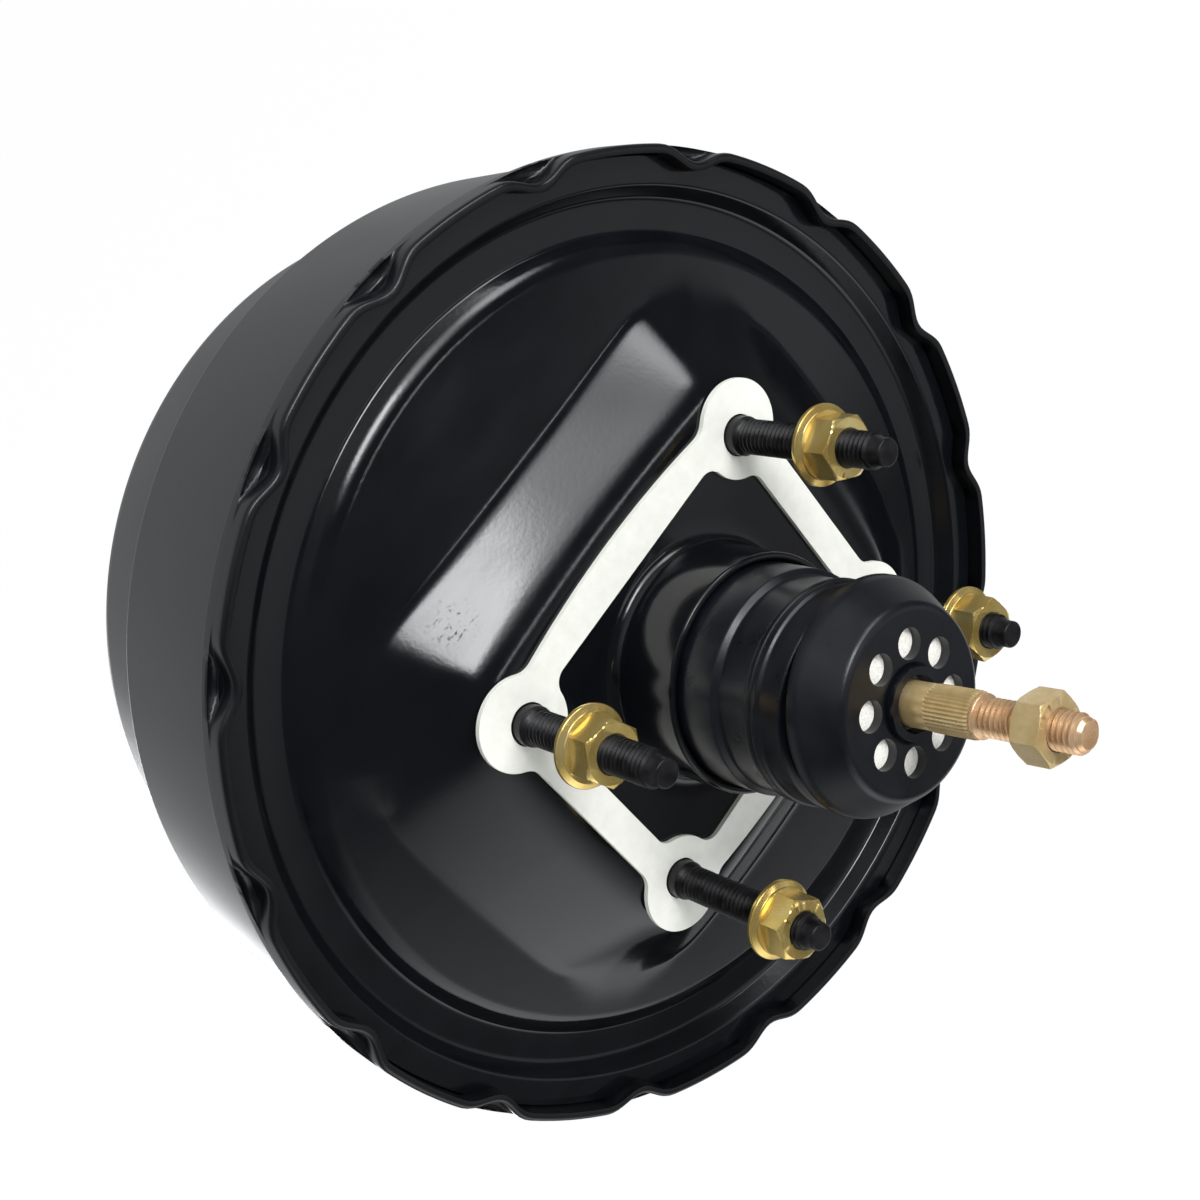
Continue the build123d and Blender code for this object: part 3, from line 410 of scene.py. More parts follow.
def finishes():
    """All the finishes by the record's slot name, made once."""
    if not FINISHES:
        colours = bpy.context.scene.booster_colours
        FINISHES.update({
            "rear_paint": gloss_enamel(colours),
            "front_paint": satin_enamel(colours),
            "gasket": fibre_gasket(colours),
            "black_steel": black_oxide(),
            "yellow_zinc": plated("yellow passivated zinc", "CFAE60", colours.zinc, "EBD898",
                                  roughness=(0.15, 0.23), patch_mm=6.0, metallic=0.86),
            "bare_steel": plated("clear passivated zinc", "8E9092", "A8AAAC", "C2C4C6"),
            "spring_steel": plated("oiled spring steel", "4A4A4C", "6C6C70", "8A8A8E"),
            "copper_steel": plated("bronze passivated steel", "D2A57A", "E0B88E", "EDCDA8",
                                   roughness=(0.2, 0.3), patch_mm=4.0, metallic=0.78),
            "olive_zinc": plated("olive passivated steel", "B09868", "BFA87A", "CCB78E",
                                 roughness=(0.26, 0.34), patch_mm=5.0, metallic=0.62),
            "boot_rubber": moulded("moulded EPDM rubber", colours.rubber, "0D0F14", roughness=(0.26, 0.36)),
            "black_rubber": moulded("nitrile rubber", "121213", "1C1C1E", roughness=(0.5, 0.7)),
            "valve_plastic": moulded("moulded nylon", "111113", "1B1B1E", roughness=(0.35, 0.5)),
            "phenolic": moulded("moulded phenolic", "1E1915", "2C2520", roughness=(0.3, 0.45)),
            "felt": fibrous("needled felt", "B9B8B2", colours.felt, fibre_mm=0.4, depth_mm=0.25),
            "foam": fibrous("open cell foam", "2B2B2C", "4A4A4C", fibre_mm=0.8, depth_mm=0.4),
        })
    return FINISHES


# ---------------------------------------------------------------- rear shell

# Outer face of the dish: cone, trough wall, trough and flange.
DISH_LINE = rounded([(0, 1.35), (90.0, 19.35, 7.5), (93.5, 22.8, 1.6), (100.7, 22.8, 1.6),
                     (103.3, FLANGE_Y, 1.0), (FLANGE_R, FLANGE_Y)], 6)
PAD_TOP = Vector((50.7, 43.9))
PAD_FOOT = Vector((73.0, 61.0))
PAD_TOP_STRAIGHT = Vector((42.0, 33.0))
PAD_FOOT_STRAIGHT = Vector((49.5, 33.0))
PAD_RIDGE_ROUND = 5.0
PAD_EDGE_REACH = 4.4
PAD_CORNER_BLEND = 5.0
PAD_CORNER_REACH = 9
PAD_START = HUB_R + 6.8
DISH_END = 88.0

# Where the pressed face has its rings, as shares of the flank and of the dish; the inner face has fewer.
FLANK_RINGS = [0.05 * k for k in range(1, 9)] + [0.5, 0.6, 0.7, 0.8, 0.88, 0.92, 0.95, 0.97, 0.985, 1.0]
DISH_RINGS = [0.02, 0.05, 0.09, 0.15, 0.3, 0.5, 0.75, 1.0]
INNER_RINGS = [3.0, 2.6, 2.2, 2.0, 1.7, 1.4, 1.2, 1.0, 0.0]

# The pad's rings are turned clear of the shell, each at a radius that tells its number, then pressed home.
BLANK_STEP = 10
BLANK_R = 40
BLANK_OUTER_Y = 50
BLANK_INNER_Y = 60


def pad_outline(angle, share):
    """Radius of the stud pad's outline at an angle, from its top edge (share 0) to its foot (share 1)."""
    half = PAD_TOP.lerp(PAD_FOOT, share)
    straight = PAD_TOP_STRAIGHT.lerp(PAD_FOOT_STRAIGHT, share)
    across, up = abs(cos(angle)), abs(sin(angle))
    normal = Vector((half.y - straight.y, half.x - straight.x)).normalized()
    corner = normal.dot((straight.x, half.y)) / (normal.x * across + normal.y * up)
    side = min(half.x / max(across, NEARLY_ZERO), half.y / max(up, NEARLY_ZERO))
    return (side + corner - sqrt((side - corner) ** 2 + PAD_RIDGE_ROUND ** 2)) / 2


class PadSpoke:
    """The pressed outer face along one spoke: flat pad, rounded edge, flank, foot, then the dish."""

    def __init__(self, angle, blend):
        self.depth = PAD_FOOT.y - PAD_TOP.y
        self.edge = pad_outline(angle, -PAD_EDGE_REACH / self.depth)
        self.foot = pad_outline(angle, 1.0)
        self.angle = angle
        into_corner = min(max(abs(cos(angle)) * self.foot - PAD_FOOT_STRAIGHT.x, 0),
                          max(abs(sin(angle)) * self.foot - PAD_FOOT_STRAIGHT.y, 0))
        self.blend = blend + PAD_CORNER_BLEND * min(into_corner / PAD_CORNER_REACH, 1)
        self.slope = (height_at(DISH_LINE, self.foot) - GASKET_T) / self.depth

    def face(self, ring):
        """Radius and y at a ring: 0 to 1 the flat, 1 to 2 the edge and flank, 2 to 3 the dish."""
        if ring <= 1:
            radius = PAD_START + (self.edge - PAD_START) * ring
            return radius, GASKET_T
        reach = PAD_EDGE_REACH
        if ring <= 2:
            out = -reach + (self.depth + reach) * (ring - 1)
            radius = pad_outline(self.angle, out / self.depth)
        else:
            radius = self.foot + (DISH_END - self.foot) * (ring - 2)
            out = self.depth + radius - self.foot
        pad = GASKET_T + self.slope * (out if out > reach else (out + reach) ** 2 / (4 * reach))
        dish = height_at(DISH_LINE, radius)
        near = max(self.blend - abs(dish - pad), 0) / self.blend
        return radius, min(dish, pad) - near * near * self.blend / 4


def rear_shell_mesh(sizes):
    """Rear shell: neck, foot round, stud pad, dish, trough and flange, with its inner face behind."""
    foot = rounded([(HUB_BORE_R, HUB_LIP_Y + 1), (HUB_BORE_R, HUB_LIP_Y, 0.6), (HUB_R, HUB_LIP_Y, 0.8),
                    (HUB_R, GASKET_T, 3.0), (HUB_R + 6, GASKET_T)], 6)
    rings = [0.0, 0.5, 1.0] + [1 + share for share in FLANK_RINGS] + [2 + share for share in DISH_RINGS]
    outer = [Vector((ring * BLANK_STEP + BLANK_R, BLANK_OUTER_Y)) for ring in rings]
    behind = [Vector((ring * BLANK_STEP + BLANK_R, BLANK_INNER_Y)) for ring in INNER_RINGS]
    edge = [p for p in DISH_LINE if p.x > DISH_END]
    under = [p + Vector((0, SHEET)) for p in reversed(edge)]
    neck_inner = [Vector((HUB_BORE_R + 0.3, GASKET_T + SHEET + 0.6)), Vector((HUB_BORE_R, GASKET_T))]
    bm = spun(foot + outer + edge + under + behind + neck_inner, sizes.steps)
    blend = sizes.pad_blend / MM
    spokes = {}

    def press(radius, y, angle):
        if y < BLANK_OUTER_Y - 1:
            return radius, y, angle
        key = round(angle, 5)
        if key not in spokes:
            spokes[key] = PadSpoke(angle, blend)
        radius, height = spokes[key].face(radius / BLANK_STEP - BLANK_R / BLANK_STEP)
        inner = y > (BLANK_OUTER_Y + BLANK_INNER_Y) / 2
        return radius, height + (SHEET if inner else 0), angle

    reshape(bm, press)
    return bm


# ---------------------------------------------------------------- front shell

# The crimp: how many lances, the angle of one, how tight its tip, its height and how deep the metal moves.
CRIMP_COUNT = 16
CRIMP_PHASE = radians(19.45)
CRIMP_POINT = 1.3
LANCE_HEIGHT = 2.4
LANCE_REACH = 4
RIM_END_STEP = 0.25

# A hair's gap runs all round above the rim, and opens to a slit over each lance.
SLIT_HEIGHT = 1.3
SLIT_GAP = 0.02
SLIT_Y = FLANGE_Y + SLIT_GAP
FRONT_PAD_Y = 116.0

# Outer face from the slit forwards: joggle, skirt, step, nose, pad and the spigot's bore.
SKIRT_LINE = rounded([(RIM_R, SLIT_Y + 0.3), (RIM_R, 21.6, 0.6), (109.8, 23.4, 0.8), (107.2, 69.0, 3.5),
                      (101.5, 72.0, 2.5), (96.7, 112.0, 14.0), (58.0, 112.0, 2.5), (54.0, FRONT_PAD_Y, 2.5),
                      (21.0, FRONT_PAD_Y, 2.5), (21.0, 107.0)], 7)


def crimp_depth(angle, sizes):
    """How far the rim is pushed in at an angle, in millimetres: a smooth dip with a tight tip."""
    turn = 2 * pi / CRIMP_COUNT
    off = (angle - CRIMP_PHASE + turn / 2) % turn - turn / 2
    share = abs(off) * RIM_R / (sizes.crimp_width / MM / 2)
    return (0.5 + 0.5 * cos(pi * share)) ** CRIMP_POINT * sizes.crimp_depth / MM if share < 1 else 0.0


def front_shell_mesh(sizes):
    """Front shell: rim with its lances, joggle, skirt, step, nose, pad and spigot bore."""
    rim = rounded([(RIM_R - SHEET, RIM_TOP_Y), (RIM_R, RIM_TOP_Y, 1.1), (RIM_R, FLANGE_Y)], 5)[1:]
    lance_line = stretch(rim[-1] - Vector((0, LANCE_HEIGHT)), rim[-1], 3)
    outer = rim[:-1] + lance_line + [Vector((RIM_R, SLIT_Y))] + SKIRT_LINE
    inner = inset_line(SKIRT_LINE, SHEET)[::-1]
    inner += [Vector((RIM_R - SHEET, y)) for y in (SLIT_Y, FLANGE_Y, RIM_TOP_Y + RIM_END_STEP)]
    bm = spun(outer + inner, sizes.steps)

    def lance(radius, y, angle):
        if radius < RIM_R - LANCE_REACH or y > SLIT_Y + SLIT_GAP / 2:
            return radius, y, angle
        depth = crimp_depth(angle, sizes)
        if y > FLANGE_Y + SLIT_GAP / 2:
            return radius, y + SLIT_HEIGHT * depth / (sizes.crimp_depth / MM), angle
        return radius - depth, y, angle

    reshape(bm, lance)
    return bm


# ---------------------------------------------------------------- threads, nuts and rod

# Half widths of a thread's ridge, as shares of the pitch, and how far its root lies under the bar's skin.
THREAD_STEPS = 40
THREAD_CREST = 0.07
THREAD_ROOT = 0.47
THREAD_BURY = 0.1
FADE_BURY = 0.12

# The studs: weld head, shank, collar and the plain point past the thread.
HEAD_R = 7.0
SHANK_R = 4.2
COLLAR_R = 4.4
DOG_POINT = 2.8
MASTER_STUD_LENGTH = 24.0
MASTER_STUD_X = 42


def thread_ridge(sizes, start_y, end_y):
    """The helical ridge of a right-hand thread between two heights, a closed solid that fades at its ends."""
    pitch, depth = sizes.pitch / MM, sizes.thread_depth / MM
    root = THREAD_R - depth
    profile = [(root - THREAD_BURY, -THREAD_ROOT), (THREAD_R, -THREAD_CREST),
               (THREAD_R, THREAD_CREST), (root - THREAD_BURY, THREAD_ROOT)]
    bm = bmesh.new()
    face = bm.faces.new([bm.verts.new((r * MM, (end_y + share * pitch) * MM, 0)) for r, share in profile])
    turns = (start_y - end_y) / pitch
    steps = int(turns * THREAD_STEPS)
    bmesh.ops.spin(bm, geom=[face] + face.edges[:] + face.verts[:], cent=(0, 0, 0), axis=(0, 1, 0),
                   dvec=(0, (start_y - end_y) / steps * MM, 0), angle=2 * pi * turns, steps=steps)
    bmesh.ops.recalc_face_normals(bm, faces=bm.faces)

    def fade(r, y, angle):
        inside = max(min(start_y - y, y - end_y) + pitch / 2, 0)
        return root - FADE_BURY + (r - root + FADE_BURY) * min(inside / pitch, 1), y, angle

    reshape(bm, fade)
    return bm


def threaded(line, sizes, start_y, end_y):
    """A bar turned from a line of (radius, y) points, with a thread on it between two heights."""
    return joined([spun(line, THREAD_STEPS, closed=False), thread_ridge(sizes, start_y, end_y)])


def stud_mesh(sizes):
    """One bulkhead stud: weld head, shank, collar, thread and dog point."""
    core = THREAD_R - sizes.thread_depth / MM
    end_y = -STUD_LENGTH + DOG_POINT
    line = rounded([(0, 7.0), (HEAD_R, 7.0, 0.4), (HEAD_R, 4.8), (SHANK_R, 4.8), (SHANK_R, 0.0),
                    (COLLAR_R, 0.0), (COLLAR_R, -2.4, 0.3), (THREAD_R, -3.0, 0.3), (core, -3.5),
                    (core, end_y + 0.2), (3.0, end_y - 0.1), (3.0, -STUD_LENGTH, 0.45), (0, -STUD_LENGTH)], 4)
    return threaded(line, sizes, -3.2, end_y + 0.2)


def master_stud_mesh(sizes):
    """One master cylinder stud, pointing towards +Y from the front pad."""
    core = THREAD_R - sizes.thread_depth / MM
    line = rounded([(0, 6.7), (HEAD_R, 6.7, 0.4), (HEAD_R, 4.5), (SHANK_R, 4.5), (SHANK_R, 0.0),
                    (COLLAR_R, 0.0), (COLLAR_R, -4.0), (THREAD_R, -5.0), (core, -5.6), (core, -23.4),
                    (2.9, -MASTER_STUD_LENGTH), (0, -MASTER_STUD_LENGTH)], 3)
    bm = threaded(line, sizes, -5.4, -23.2)
    return placed(bm, Matrix.Translation((0, FRONT_PAD_Y * MM, 0)) @ Matrix.Rotation(pi, 4, "X"))


# The nuts' hexagon: its corners, how far inside its flats the press reaches, and the chamfer of its corners.
HEX_CORNER_R = 7.28
HEX_REACH = 0.9
HEX_TOLERANCE = 0.01
CHAMFER_START = 0.985
CHAMFER_SLOPE = 1.75
NUT_STEPS = 96
NUT_HEIGHT = 8.0
JAM_NUT_HEIGHT = 6.5
JAM_NUT_ALONG = 61.9
NUT_FACE_R = 5.9
NUT_MOUTH_R = 4.25
NUT_BORE_R = 3.3


def hexed(bm, low_y, high_y, both_ends):
    """Flattens a turned bar to a hexagon between two heights, chamfered at the low end or at both."""
    flat = NUT_AF / 2

    def press(r, y, angle):
        if not low_y - HEX_TOLERANCE <= y <= high_y + HEX_TOLERANCE or r < flat - HEX_REACH:
            return r, y, angle
        hexagon = flat / cos((angle + pi / 6) % (pi / 3) - pi / 6)
        from_end = min(y - low_y, high_y - y) if both_ends else y - low_y
        return min(hexagon, flat * CHAMFER_START + from_end * CHAMFER_SLOPE), y, angle

    reshape(bm, press)
    return bm


def flange_nut_mesh():
    """M8 flange nut, with its seated face at y = 0 and its top towards -Y."""
    line = rounded([(NUT_BORE_R, 0), (NUT_FLANGE_R, 0, 0.25), (NUT_FLANGE_R, -1.0, 0.3), (7.4, -1.6, 0.3),
                    (HEX_CORNER_R, -1.9)], 3)
    line += stretch((HEX_CORNER_R, -2.0), (HEX_CORNER_R, -6.2), 2)
    line += stretch((HEX_CORNER_R, -6.5), (HEX_CORNER_R, -NUT_HEIGHT), 8)
    line += [Vector((NUT_FACE_R, -NUT_HEIGHT)), Vector((NUT_MOUTH_R, -NUT_HEIGHT)),
             Vector((NUT_BORE_R, -7.2))]
    return hexed(spun(line, NUT_STEPS), -NUT_HEIGHT, -1.95, both_ends=False)


def jam_nut_mesh():
    """M8 jam nut, from y = 0 towards -Y."""
    line = stretch((HEX_CORNER_R, 0), (HEX_CORNER_R, -1.2), 8)
    line += stretch((HEX_CORNER_R, -1.4), (HEX_CORNER_R, -5.1), 2)
    line += stretch((HEX_CORNER_R, -5.3), (HEX_CORNER_R, -JAM_NUT_HEIGHT), 8)
    line += [Vector((NUT_FACE_R, -JAM_NUT_HEIGHT)), Vector((NUT_MOUTH_R, -JAM_NUT_HEIGHT)),
             Vector((NUT_BORE_R, -5.6)), Vector((NUT_BORE_R, -0.9)), Vector((NUT_MOUTH_R, 0)),
             Vector((NUT_FACE_R, 0))]
    return hexed(spun(line, NUT_STEPS), -JAM_NUT_HEIGHT, 0.0, both_ends=True)


BALL_R = 4.6
BALL_STEPS = 12
BALL_POINTS = 9
ROD_END_Y = -74.75
SLEEVE_BORE_R = 3.5
SLEEVE_START_Y = -22.0
SLEEVE_END_Y = -50.8
GRIP_R = 4.8
GRIP_START_Y = -40.25
GRIP_END_Y = -50.3
RIDGE_STEPS = 6


def input_rod_mesh(sizes):
    """Input rod from its ball at y = 0 to its chamfered tip."""
    core = THREAD_R - sizes.thread_depth / MM
    turns = [pi * k / BALL_STEPS for k in range(BALL_POINTS)]
    ball = [Vector((BALL_R * sin(a), BALL_R * cos(a))) for a in turns]
    neck = rounded([(3.0, -3.6), (3.0, -20.0), (SLEEVE_BORE_R, SLEEVE_START_Y), (SLEEVE_BORE_R, SLEEVE_END_Y),
                    (4.5, SLEEVE_END_Y, 0.2), (4.5, -51.7, 0.3), (core, -52.4), (core, -74.0, 0.2),
                    (2.6, ROD_END_Y, 0.2), (0, ROD_END_Y)], 4)
    return threaded(ball + neck, sizes, -52.2, -73.9)


def rod_sleeve_mesh(sizes):
    """Adjuster sleeve: smooth barrel, then a straight-knurled grip between chamfers."""
    line = rounded([(SLEEVE_BORE_R, SLEEVE_START_Y), (4.65, SLEEVE_START_Y, 0.3), (4.65, -40.1),
                    (GRIP_R, -40.3)], 3)
    line += stretch((GRIP_R, -40.4), (GRIP_R, -50.0), 4)
    line += rounded([(GRIP_R, -50.2), (4.45, SLEEVE_END_Y), (SLEEVE_BORE_R, SLEEVE_END_Y)], 3)
    bm = spun(line, sizes.knurls * RIDGE_STEPS)
    depth = sizes.knurl_depth / MM

    def knurl(r, y, angle):
        if not GRIP_END_Y <= y <= GRIP_START_Y or r < GRIP_R - 0.1:
            return r, y, angle
        wave = abs((angle * sizes.knurls / (2 * pi)) % 1 - 0.5) * 2
        return r - depth * (1 - wave), y, angle

    reshape(bm, knurl)
    return bm


# ---------------------------------------------------------------- boot

BOOT_STEPS = 192
BOOT_R = 24.3
WAIST_R = 23.1
RING_R = 23.75


def bellows_mesh():
    """Rubber boot between the neck and the cap: soft edges, a waist, and a double ring."""
    outer = rounded([(21.5, -12.0), (BOOT_R, -12.0, 0.5), (24.4, -27.2, 0.7), (WAIST_R, -28.2, 0.5),
                     (WAIST_R, -35.9, 0.5), (RING_R, -36.4, 0.45), (RING_R, -37.5, 0.35), (23.35, -37.9, 0.3),
                     (RING_R, -38.3, 0.35), (RING_R, -39.4, 0.45), (WAIST_R, -39.9, 0.5),
                     (WAIST_R, -45.4, 0.6), (21.6, -46.0)], 4)
    return spun(outer + [Vector((21.5, -44.0))], BOOT_STEPS)


# ---------------------------------------------------------------- return spring

SPRING_R = 30.0
SPRING_WIRE_R = 2.0
SPRING_TURNS = 6
WIRE_STEPS = 12
COIL_STEPS = 40
SPRING_START_Y = 37.6
SPRING_END_Y = 111.5


def coil_mesh():
    """Round-wire compression spring along Y, from the diaphragm plate to the front plate."""
    bm = bmesh.new()
    around = [2 * pi * k / WIRE_STEPS for k in range(WIRE_STEPS)]
    first_y = SPRING_START_Y + SPRING_WIRE_R
    face = bm.faces.new([bm.verts.new(((SPRING_R + SPRING_WIRE_R * cos(a)) * MM,
                                       (first_y + SPRING_WIRE_R * sin(a)) * MM, 0)) for a in around])
    climb = SPRING_END_Y - SPRING_START_Y - 2 * SPRING_WIRE_R
    steps = SPRING_TURNS * COIL_STEPS
    bmesh.ops.spin(bm, geom=[face] + face.edges[:] + face.verts[:], cent=(0, 0, 0), axis=(0, 1, 0),
                   dvec=(0, climb / steps * MM, 0), angle=2 * pi * SPRING_TURNS, steps=steps)
    bmesh.ops.recalc_face_normals(bm, faces=bm.faces)
    return bm


# ---------------------------------------------------------------- operators

class BOOSTER_OT_shells(bpy.types.Operator):
    """Makes the rear shell and the crimped front shell"""
    bl_idname = "booster.shells"
    bl_label = "Make shells"

    def execute(self, context):
        sizes = context.scene.booster_shells
        piece("rear_shell_pressing", rear_shell_mesh(sizes), "housing", "rear_paint", ["rear_shell"], 40)
        piece("front_shell_pressing", front_shell_mesh(sizes), "housing", "front_paint", ["front_shell"], 40)
        return {"FINISHED"}


STUD_PLACES = [(STUD_X, STUD_Z), (-STUD_X, STUD_Z), (-STUD_X, -STUD_Z), (STUD_X, -STUD_Z)]


class BOOSTER_OT_studs(bpy.types.Operator):
    """Makes the threaded studs of both ends"""
    bl_idname = "booster.studs"
    bl_label = "Make studs"

    def execute(self, context):
        sizes = context.scene.booster_fasteners
        bulkhead = joined([placed(stud_mesh(sizes), Matrix.Translation((x * MM, 0, z * MM)))
                           for x, z in STUD_PLACES])
        piece("bulkhead_stud_threads", bulkhead, "housing", "black_steel", ["bulkhead_studs"], 50)
        master = joined([placed(master_stud_mesh(sizes), Matrix.Translation((x * MM, 0, 0)))
                         for x in (-MASTER_STUD_X, MASTER_STUD_X)])
        piece("master_stud_threads", master, "housing", "black_steel", ["master_studs"], 50)
        return {"FINISHED"}


# How far down its stud each nut is run, as a share of the stud, and which way its flats face, in degrees.
NUT_SHARES = (0.57, 0.45, 0.70, 0.68)
NUT_TURNS = (8.0, 41.0, 25.0, 52.0)


class BOOSTER_OT_nuts(bpy.types.Operator):
    """Makes the four flange nuts and the jam nut"""
    bl_idname = "booster.nuts"
    bl_label = "Make nuts"

    def execute(self, context):
        nuts = []
        for (x, z), share, turn in zip(STUD_PLACES, NUT_SHARES, NUT_TURNS):
            spot = Matrix.Translation((x * MM, -STUD_LENGTH * share * MM, z * MM))
            nuts.append(placed(flange_nut_mesh(), spot @ Matrix.Rotation(radians(turn), 4, "Y")))
        piece("flange_nut_set", joined(nuts), "housing", "yellow_zinc", ["flange_nuts"], 28)
        jam = placed(jam_nut_mesh(), rod_matrix(JAM_NUT_ALONG))
        piece("jam_nut_hex", jam, "input_rod", "olive_zinc", ["jam_nut"], 28)
        return {"FINISHED"}


class BOOSTER_OT_rod(bpy.types.Operator):
    """Makes the input rod and its knurled sleeve"""
    bl_idname = "booster.rod"
    bl_label = "Make rod"

    def execute(self, context):
        sizes = context.scene.booster_fasteners
        rod = placed(input_rod_mesh(sizes), rod_matrix())
        piece("input_rod_threaded", rod, "input_rod", "copper_steel", ["input_rod"], 50)
        sleeve = placed(rod_sleeve_mesh(sizes), rod_matrix())
        piece("rod_sleeve_knurled", sleeve, "input_rod", "olive_zinc", ["rod_sleeve"], 28)
        return {"FINISHED"}


class BOOSTER_OT_boot(bpy.types.Operator):
    """Makes the rubber boot, with a mesh of its own; the real boot shortens as the booster strokes, and this
    script draws it at one length
    """
    bl_idname = "booster.boot"
    bl_label = "Make boot"

    def execute(self, context):
        boot = piece("boot_bellows_moulding", bellows_mesh(), "power_piston", "boot_rubber",
                     ["boot_bellows"], 40)
        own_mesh(boot)
        return {"FINISHED"}


class BOOSTER_OT_spring(bpy.types.Operator):
    """Makes the return spring, with a mesh of its own; the real spring shortens as the booster strokes, and
    this script draws it at one length
    """
    bl_idname = "booster.spring"
    bl_label = "Make return spring"

    def execute(self, context):
        spring = piece("return_spring_coil", coil_mesh(), "power_piston", "spring_steel",
                       ["return_spring"], 60)
        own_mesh(spring)
        return {"FINISHED"}


class BOOSTER_OT_carried(bpy.types.Operator):
    """Gives every piece kept from the construction its finish"""
    bl_idname = "booster.carried"
    bl_label = "Finish kept pieces"

    def execute(self, context):
        made = finishes()
        for part in frame["record"]["subparts"]:
            obj = frame["nodes"][part["node"]]
            obj.data.materials.clear()
            obj.data.materials.append(made[part["material_slot"]])
        return {"FINISHED"}


def area_light(name, place, target, size, power):
    """A square lamp at a place, aimed at a target, and out of sight of glossy surfaces."""
    data = bpy.data.lights.new(name, "AREA")
    data.shape, data.size, data.energy = "SQUARE", size, power
    obj = bpy.data.objects.new(name, data)
    bpy.context.scene.collection.objects.link(obj)
    obj.location = place
    obj.rotation_euler = (Vector(target) - Vector(place)).to_track_quat("-Z", "Y").to_euler()
    obj.visible_glossy = False


def facing(azimuth, elevation):
    """Unit direction from the booster: azimuth 0 is the pedal side, positive towards +X."""
    a, e = radians(azimuth), radians(elevation)
    return Vector((sin(a) * cos(e), -cos(a) * cos(e), sin(e)))


# Soft boxes round the booster: azimuth, elevation, half width, half height, softness (degrees), brightness.
SOFT_BOXES = [
    (9, 44, 9, 6, 2.5, 12.0),
    (17, 42, 15, 8, 7, 3.4),
    (34, 38, 18, 9, 7, 2.0),
    (55, 34, 9, 7, 5, 6.0),
    (22, 3, 16, 1.6, 0.9, 5.0),
    (-50, -45, 26, 20, 16, 0.9),
    (35, -24, 26, 14, 10, 0.4),
    (30, -84, 50, 16, 12, 0.8),
    (176, -34, 13, 16, 5, 7.0),
    (180, 0, 80, 60, 30, 0.42),
    (0, 80, 40, 22, 20, 0.5),
]
ROOM = 0.065

# Lamps: name, place, target, width in metres, power in watts.
LAMPS = [
    ("key box", (0.35, -1.05, 0.65), (0, 0, 0), 0.55, 17),
    ("fill box", (-0.9, -0.7, 0.5), (0, 0.03, 0), 0.6, 6),
    ("top box", (0.1, 0.25, 1.2), (0, 0.05, 0), 0.8, 12),
]


def soft_box(tree, direction, azimuth, elevation, wide, high, soft, brightness):
    """Brightness of one soft box in a direction: a rectangle on the sky with soft edges."""
    centre = facing(azimuth, elevation)
    side = facing(azimuth + 90, 0)
    up = side.cross(centre)
    reach = []
    for axis in (centre, side, up):
        dot = add(tree, "ShaderNodeVectorMath", {"operation": "DOT_PRODUCT"}, i0=direction, i1=axis)
        reach.append(dot.outputs["Value"])
    value = add(tree, "ShaderNodeMath", {"operation": "GREATER_THAN"}, i0=reach[0], i1=0.0).outputs[0]
    for along, half in ((reach[1], wide), (reach[2], high)):
        turn = add(tree, "ShaderNodeMath", {"operation": "ARCTAN2"}, i0=along, i1=reach[0]).outputs[0]
        off = add(tree, "ShaderNodeMath", {"operation": "ABSOLUTE"}, i0=turn).outputs[0]
        edge = add(tree, "ShaderNodeMapRange", {"interpolation_type": "SMOOTHSTEP"}, i0=off,
                   i1=radians(half - soft), i2=radians(half + soft), i3=1.0, i4=0.0).outputs[0]
        value = add(tree, "ShaderNodeMath", {"operation": "MULTIPLY"}, i0=value, i1=edge).outputs[0]
    return add(tree, "ShaderNodeMath", {"operation": "MULTIPLY"}, i0=value, i1=brightness).outputs[0]


def studio(tree):
    """Brightness of the studio in every direction: the dim room and its soft boxes."""
    direction = add(tree, "ShaderNodeTexCoord").outputs["Generated"]
    total = ROOM
    for box in SOFT_BOXES:
        total = add(tree, "ShaderNodeMath", {"operation": "ADD"}, i0=soft_box(tree, direction, *box),
                    i1=total).outputs[0]
    return total


# The camera's place and the directions of its picture, in metres; its lens and sensor, in millimetres.
CAMERA_PLACE = Vector((-0.11616, -0.27551, 0.23520))
CAMERA_RIGHT = Vector((0.56298, -0.61730, -0.54954))
CAMERA_DOWN = Vector((-0.77141, -0.15385, -0.61746))
CAMERA_FORWARD = Vector((0.29661, 0.77154, -0.56281))
CAMERA_LENS = 51.19
SENSOR_WIDTH = 36.0
FLOOR_HALF = 6
FLOOR_Z = -0.42
PAPER_GLOW = 0.97


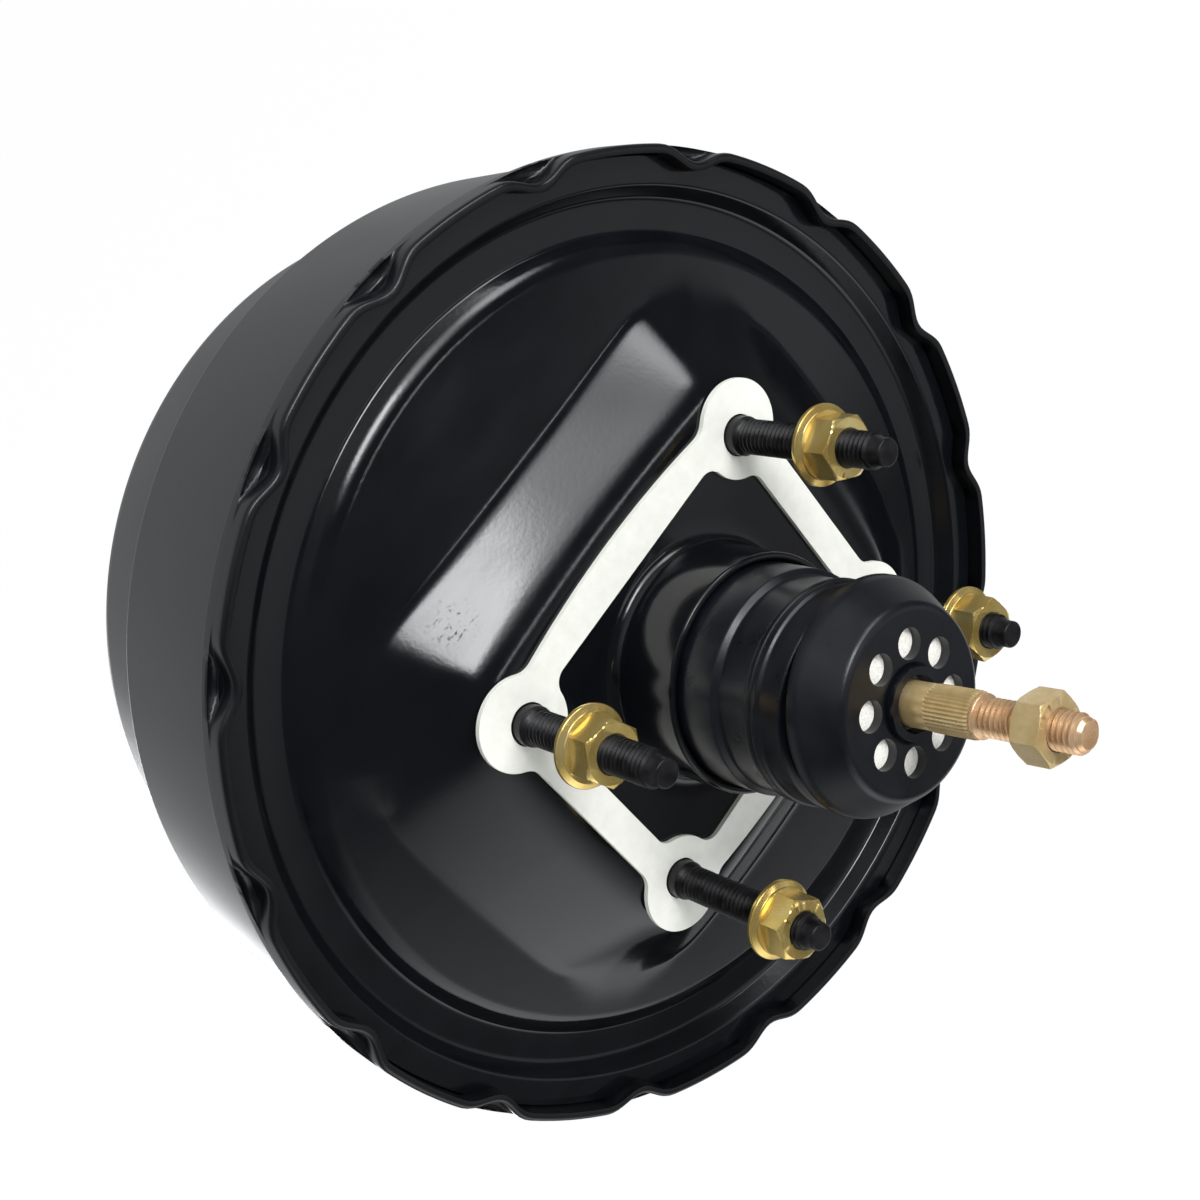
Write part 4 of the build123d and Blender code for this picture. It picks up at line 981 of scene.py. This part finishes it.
class BOOSTER_OT_stage(bpy.types.Operator):
    """Makes the floor, the lamps, the world and the camera"""
    bl_idname = "booster.stage"
    bl_label = "Make stage"

    def execute(self, context):
        scene = context.scene
        bm = bmesh.new()
        bmesh.ops.create_grid(bm, x_segments=1, y_segments=1, size=FLOOR_HALF)
        placed(bm, Matrix.Translation((0, 0, FLOOR_Z)))
        mesh = bpy.data.meshes.new("floor")
        bm.to_mesh(mesh)
        bm.free()
        floor = bpy.data.objects.new("floor", mesh)
        scene.collection.objects.link(floor)
        material, tree = blank("white paper sweep")
        path = add(tree, "ShaderNodeLightPath")
        paper = add(tree, "ShaderNodeBsdfDiffuse", Color=(0.9, 0.9, 0.9, 1))
        glow = add(tree, "ShaderNodeEmission", Color=(1, 1, 1, 1), Strength=1.0)
        seen = add(tree, "ShaderNodeMath", {"operation": "MULTIPLY"}, i0=path.outputs["Is Camera Ray"],
                   i1=PAPER_GLOW)
        mix = add(tree, "ShaderNodeMixShader", i0=seen.outputs[0], i1=paper.outputs[0], i2=glow.outputs[0])
        add(tree, "ShaderNodeOutputMaterial", i0=mix.outputs[0])
        mesh.materials.append(material)
        floor.visible_glossy = False

        world = bpy.data.worlds.new("studio")
        world.use_nodes = True
        scene.world = world
        tree = world.node_tree
        tree.nodes.clear()
        path = add(tree, "ShaderNodeLightPath")
        room = add(tree, "ShaderNodeBackground", Color=(0.97, 0.985, 1.0, 1), Strength=studio(tree))
        white = add(tree, "ShaderNodeBackground", Color=(1, 1, 1, 1), Strength=1.0)
        mix = add(tree, "ShaderNodeMixShader", i0=path.outputs["Is Camera Ray"], i1=room.outputs[0],
                  i2=white.outputs[0])
        add(tree, "ShaderNodeOutputWorld", i0=mix.outputs[0])
        for lamp in LAMPS:
            area_light(*lamp)

        data = bpy.data.cameras.new("camera")
        data.lens, data.sensor_width = CAMERA_LENS, SENSOR_WIDTH
        data.clip_start, data.clip_end = 0.01, 50
        camera = bpy.data.objects.new("camera", data)
        scene.collection.objects.link(camera)
        turn = Matrix((CAMERA_RIGHT, -CAMERA_DOWN, -CAMERA_FORWARD)).transposed().to_4x4()
        camera.matrix_world = Matrix.Translation(CAMERA_PLACE) @ turn
        scene.camera = camera
        scene.view_settings.view_transform = "Standard"
        return {"FINISHED"}


class BOOSTER_PT_panel(bpy.types.Panel):
    """Lists the booster's steps in the sidebar"""
    bl_idname = "BOOSTER_PT_panel"
    bl_label = "Brake booster"
    bl_space_type = "VIEW_3D"
    bl_region_type = "UI"
    bl_category = "Booster"

    def draw(self, context):
        for operator in OPERATORS:
            self.layout.operator(operator.bl_idname)
        for name in GROUPS:
            group = getattr(context.scene, name)
            box = self.layout.box()
            for field in group.__annotations__:
                box.prop(group, field)


GROUPS = {"booster_shells": BoosterShellSizes, "booster_fasteners": BoosterFastenerSizes,
          "booster_colours": BoosterColours}
OPERATORS = (BOOSTER_OT_stage, BOOSTER_OT_carried, BOOSTER_OT_shells, BOOSTER_OT_studs, BOOSTER_OT_nuts,
             BOOSTER_OT_rod, BOOSTER_OT_boot, BOOSTER_OT_spring)
CLASSES = tuple(GROUPS.values()) + OPERATORS + (BOOSTER_PT_panel,)


def register():
    for cls in CLASSES:
        bpy.utils.register_class(cls)
    for name, group in GROUPS.items():
        setattr(bpy.types.Scene, name, PointerProperty(type=group))


def unregister():
    for name in GROUPS:
        delattr(bpy.types.Scene, name)
    for cls in reversed(CLASSES):
        bpy.utils.unregister_class(cls)


def main():
    register()
    bpy.ops.booster.stage()
    bpy.ops.booster.carried()
    bpy.ops.booster.shells()
    bpy.ops.booster.studs()
    bpy.ops.booster.nuts()
    bpy.ops.booster.rod()
    bpy.ops.booster.boot()
    bpy.ops.booster.spring()


if __name__ == "__main__":
    main()
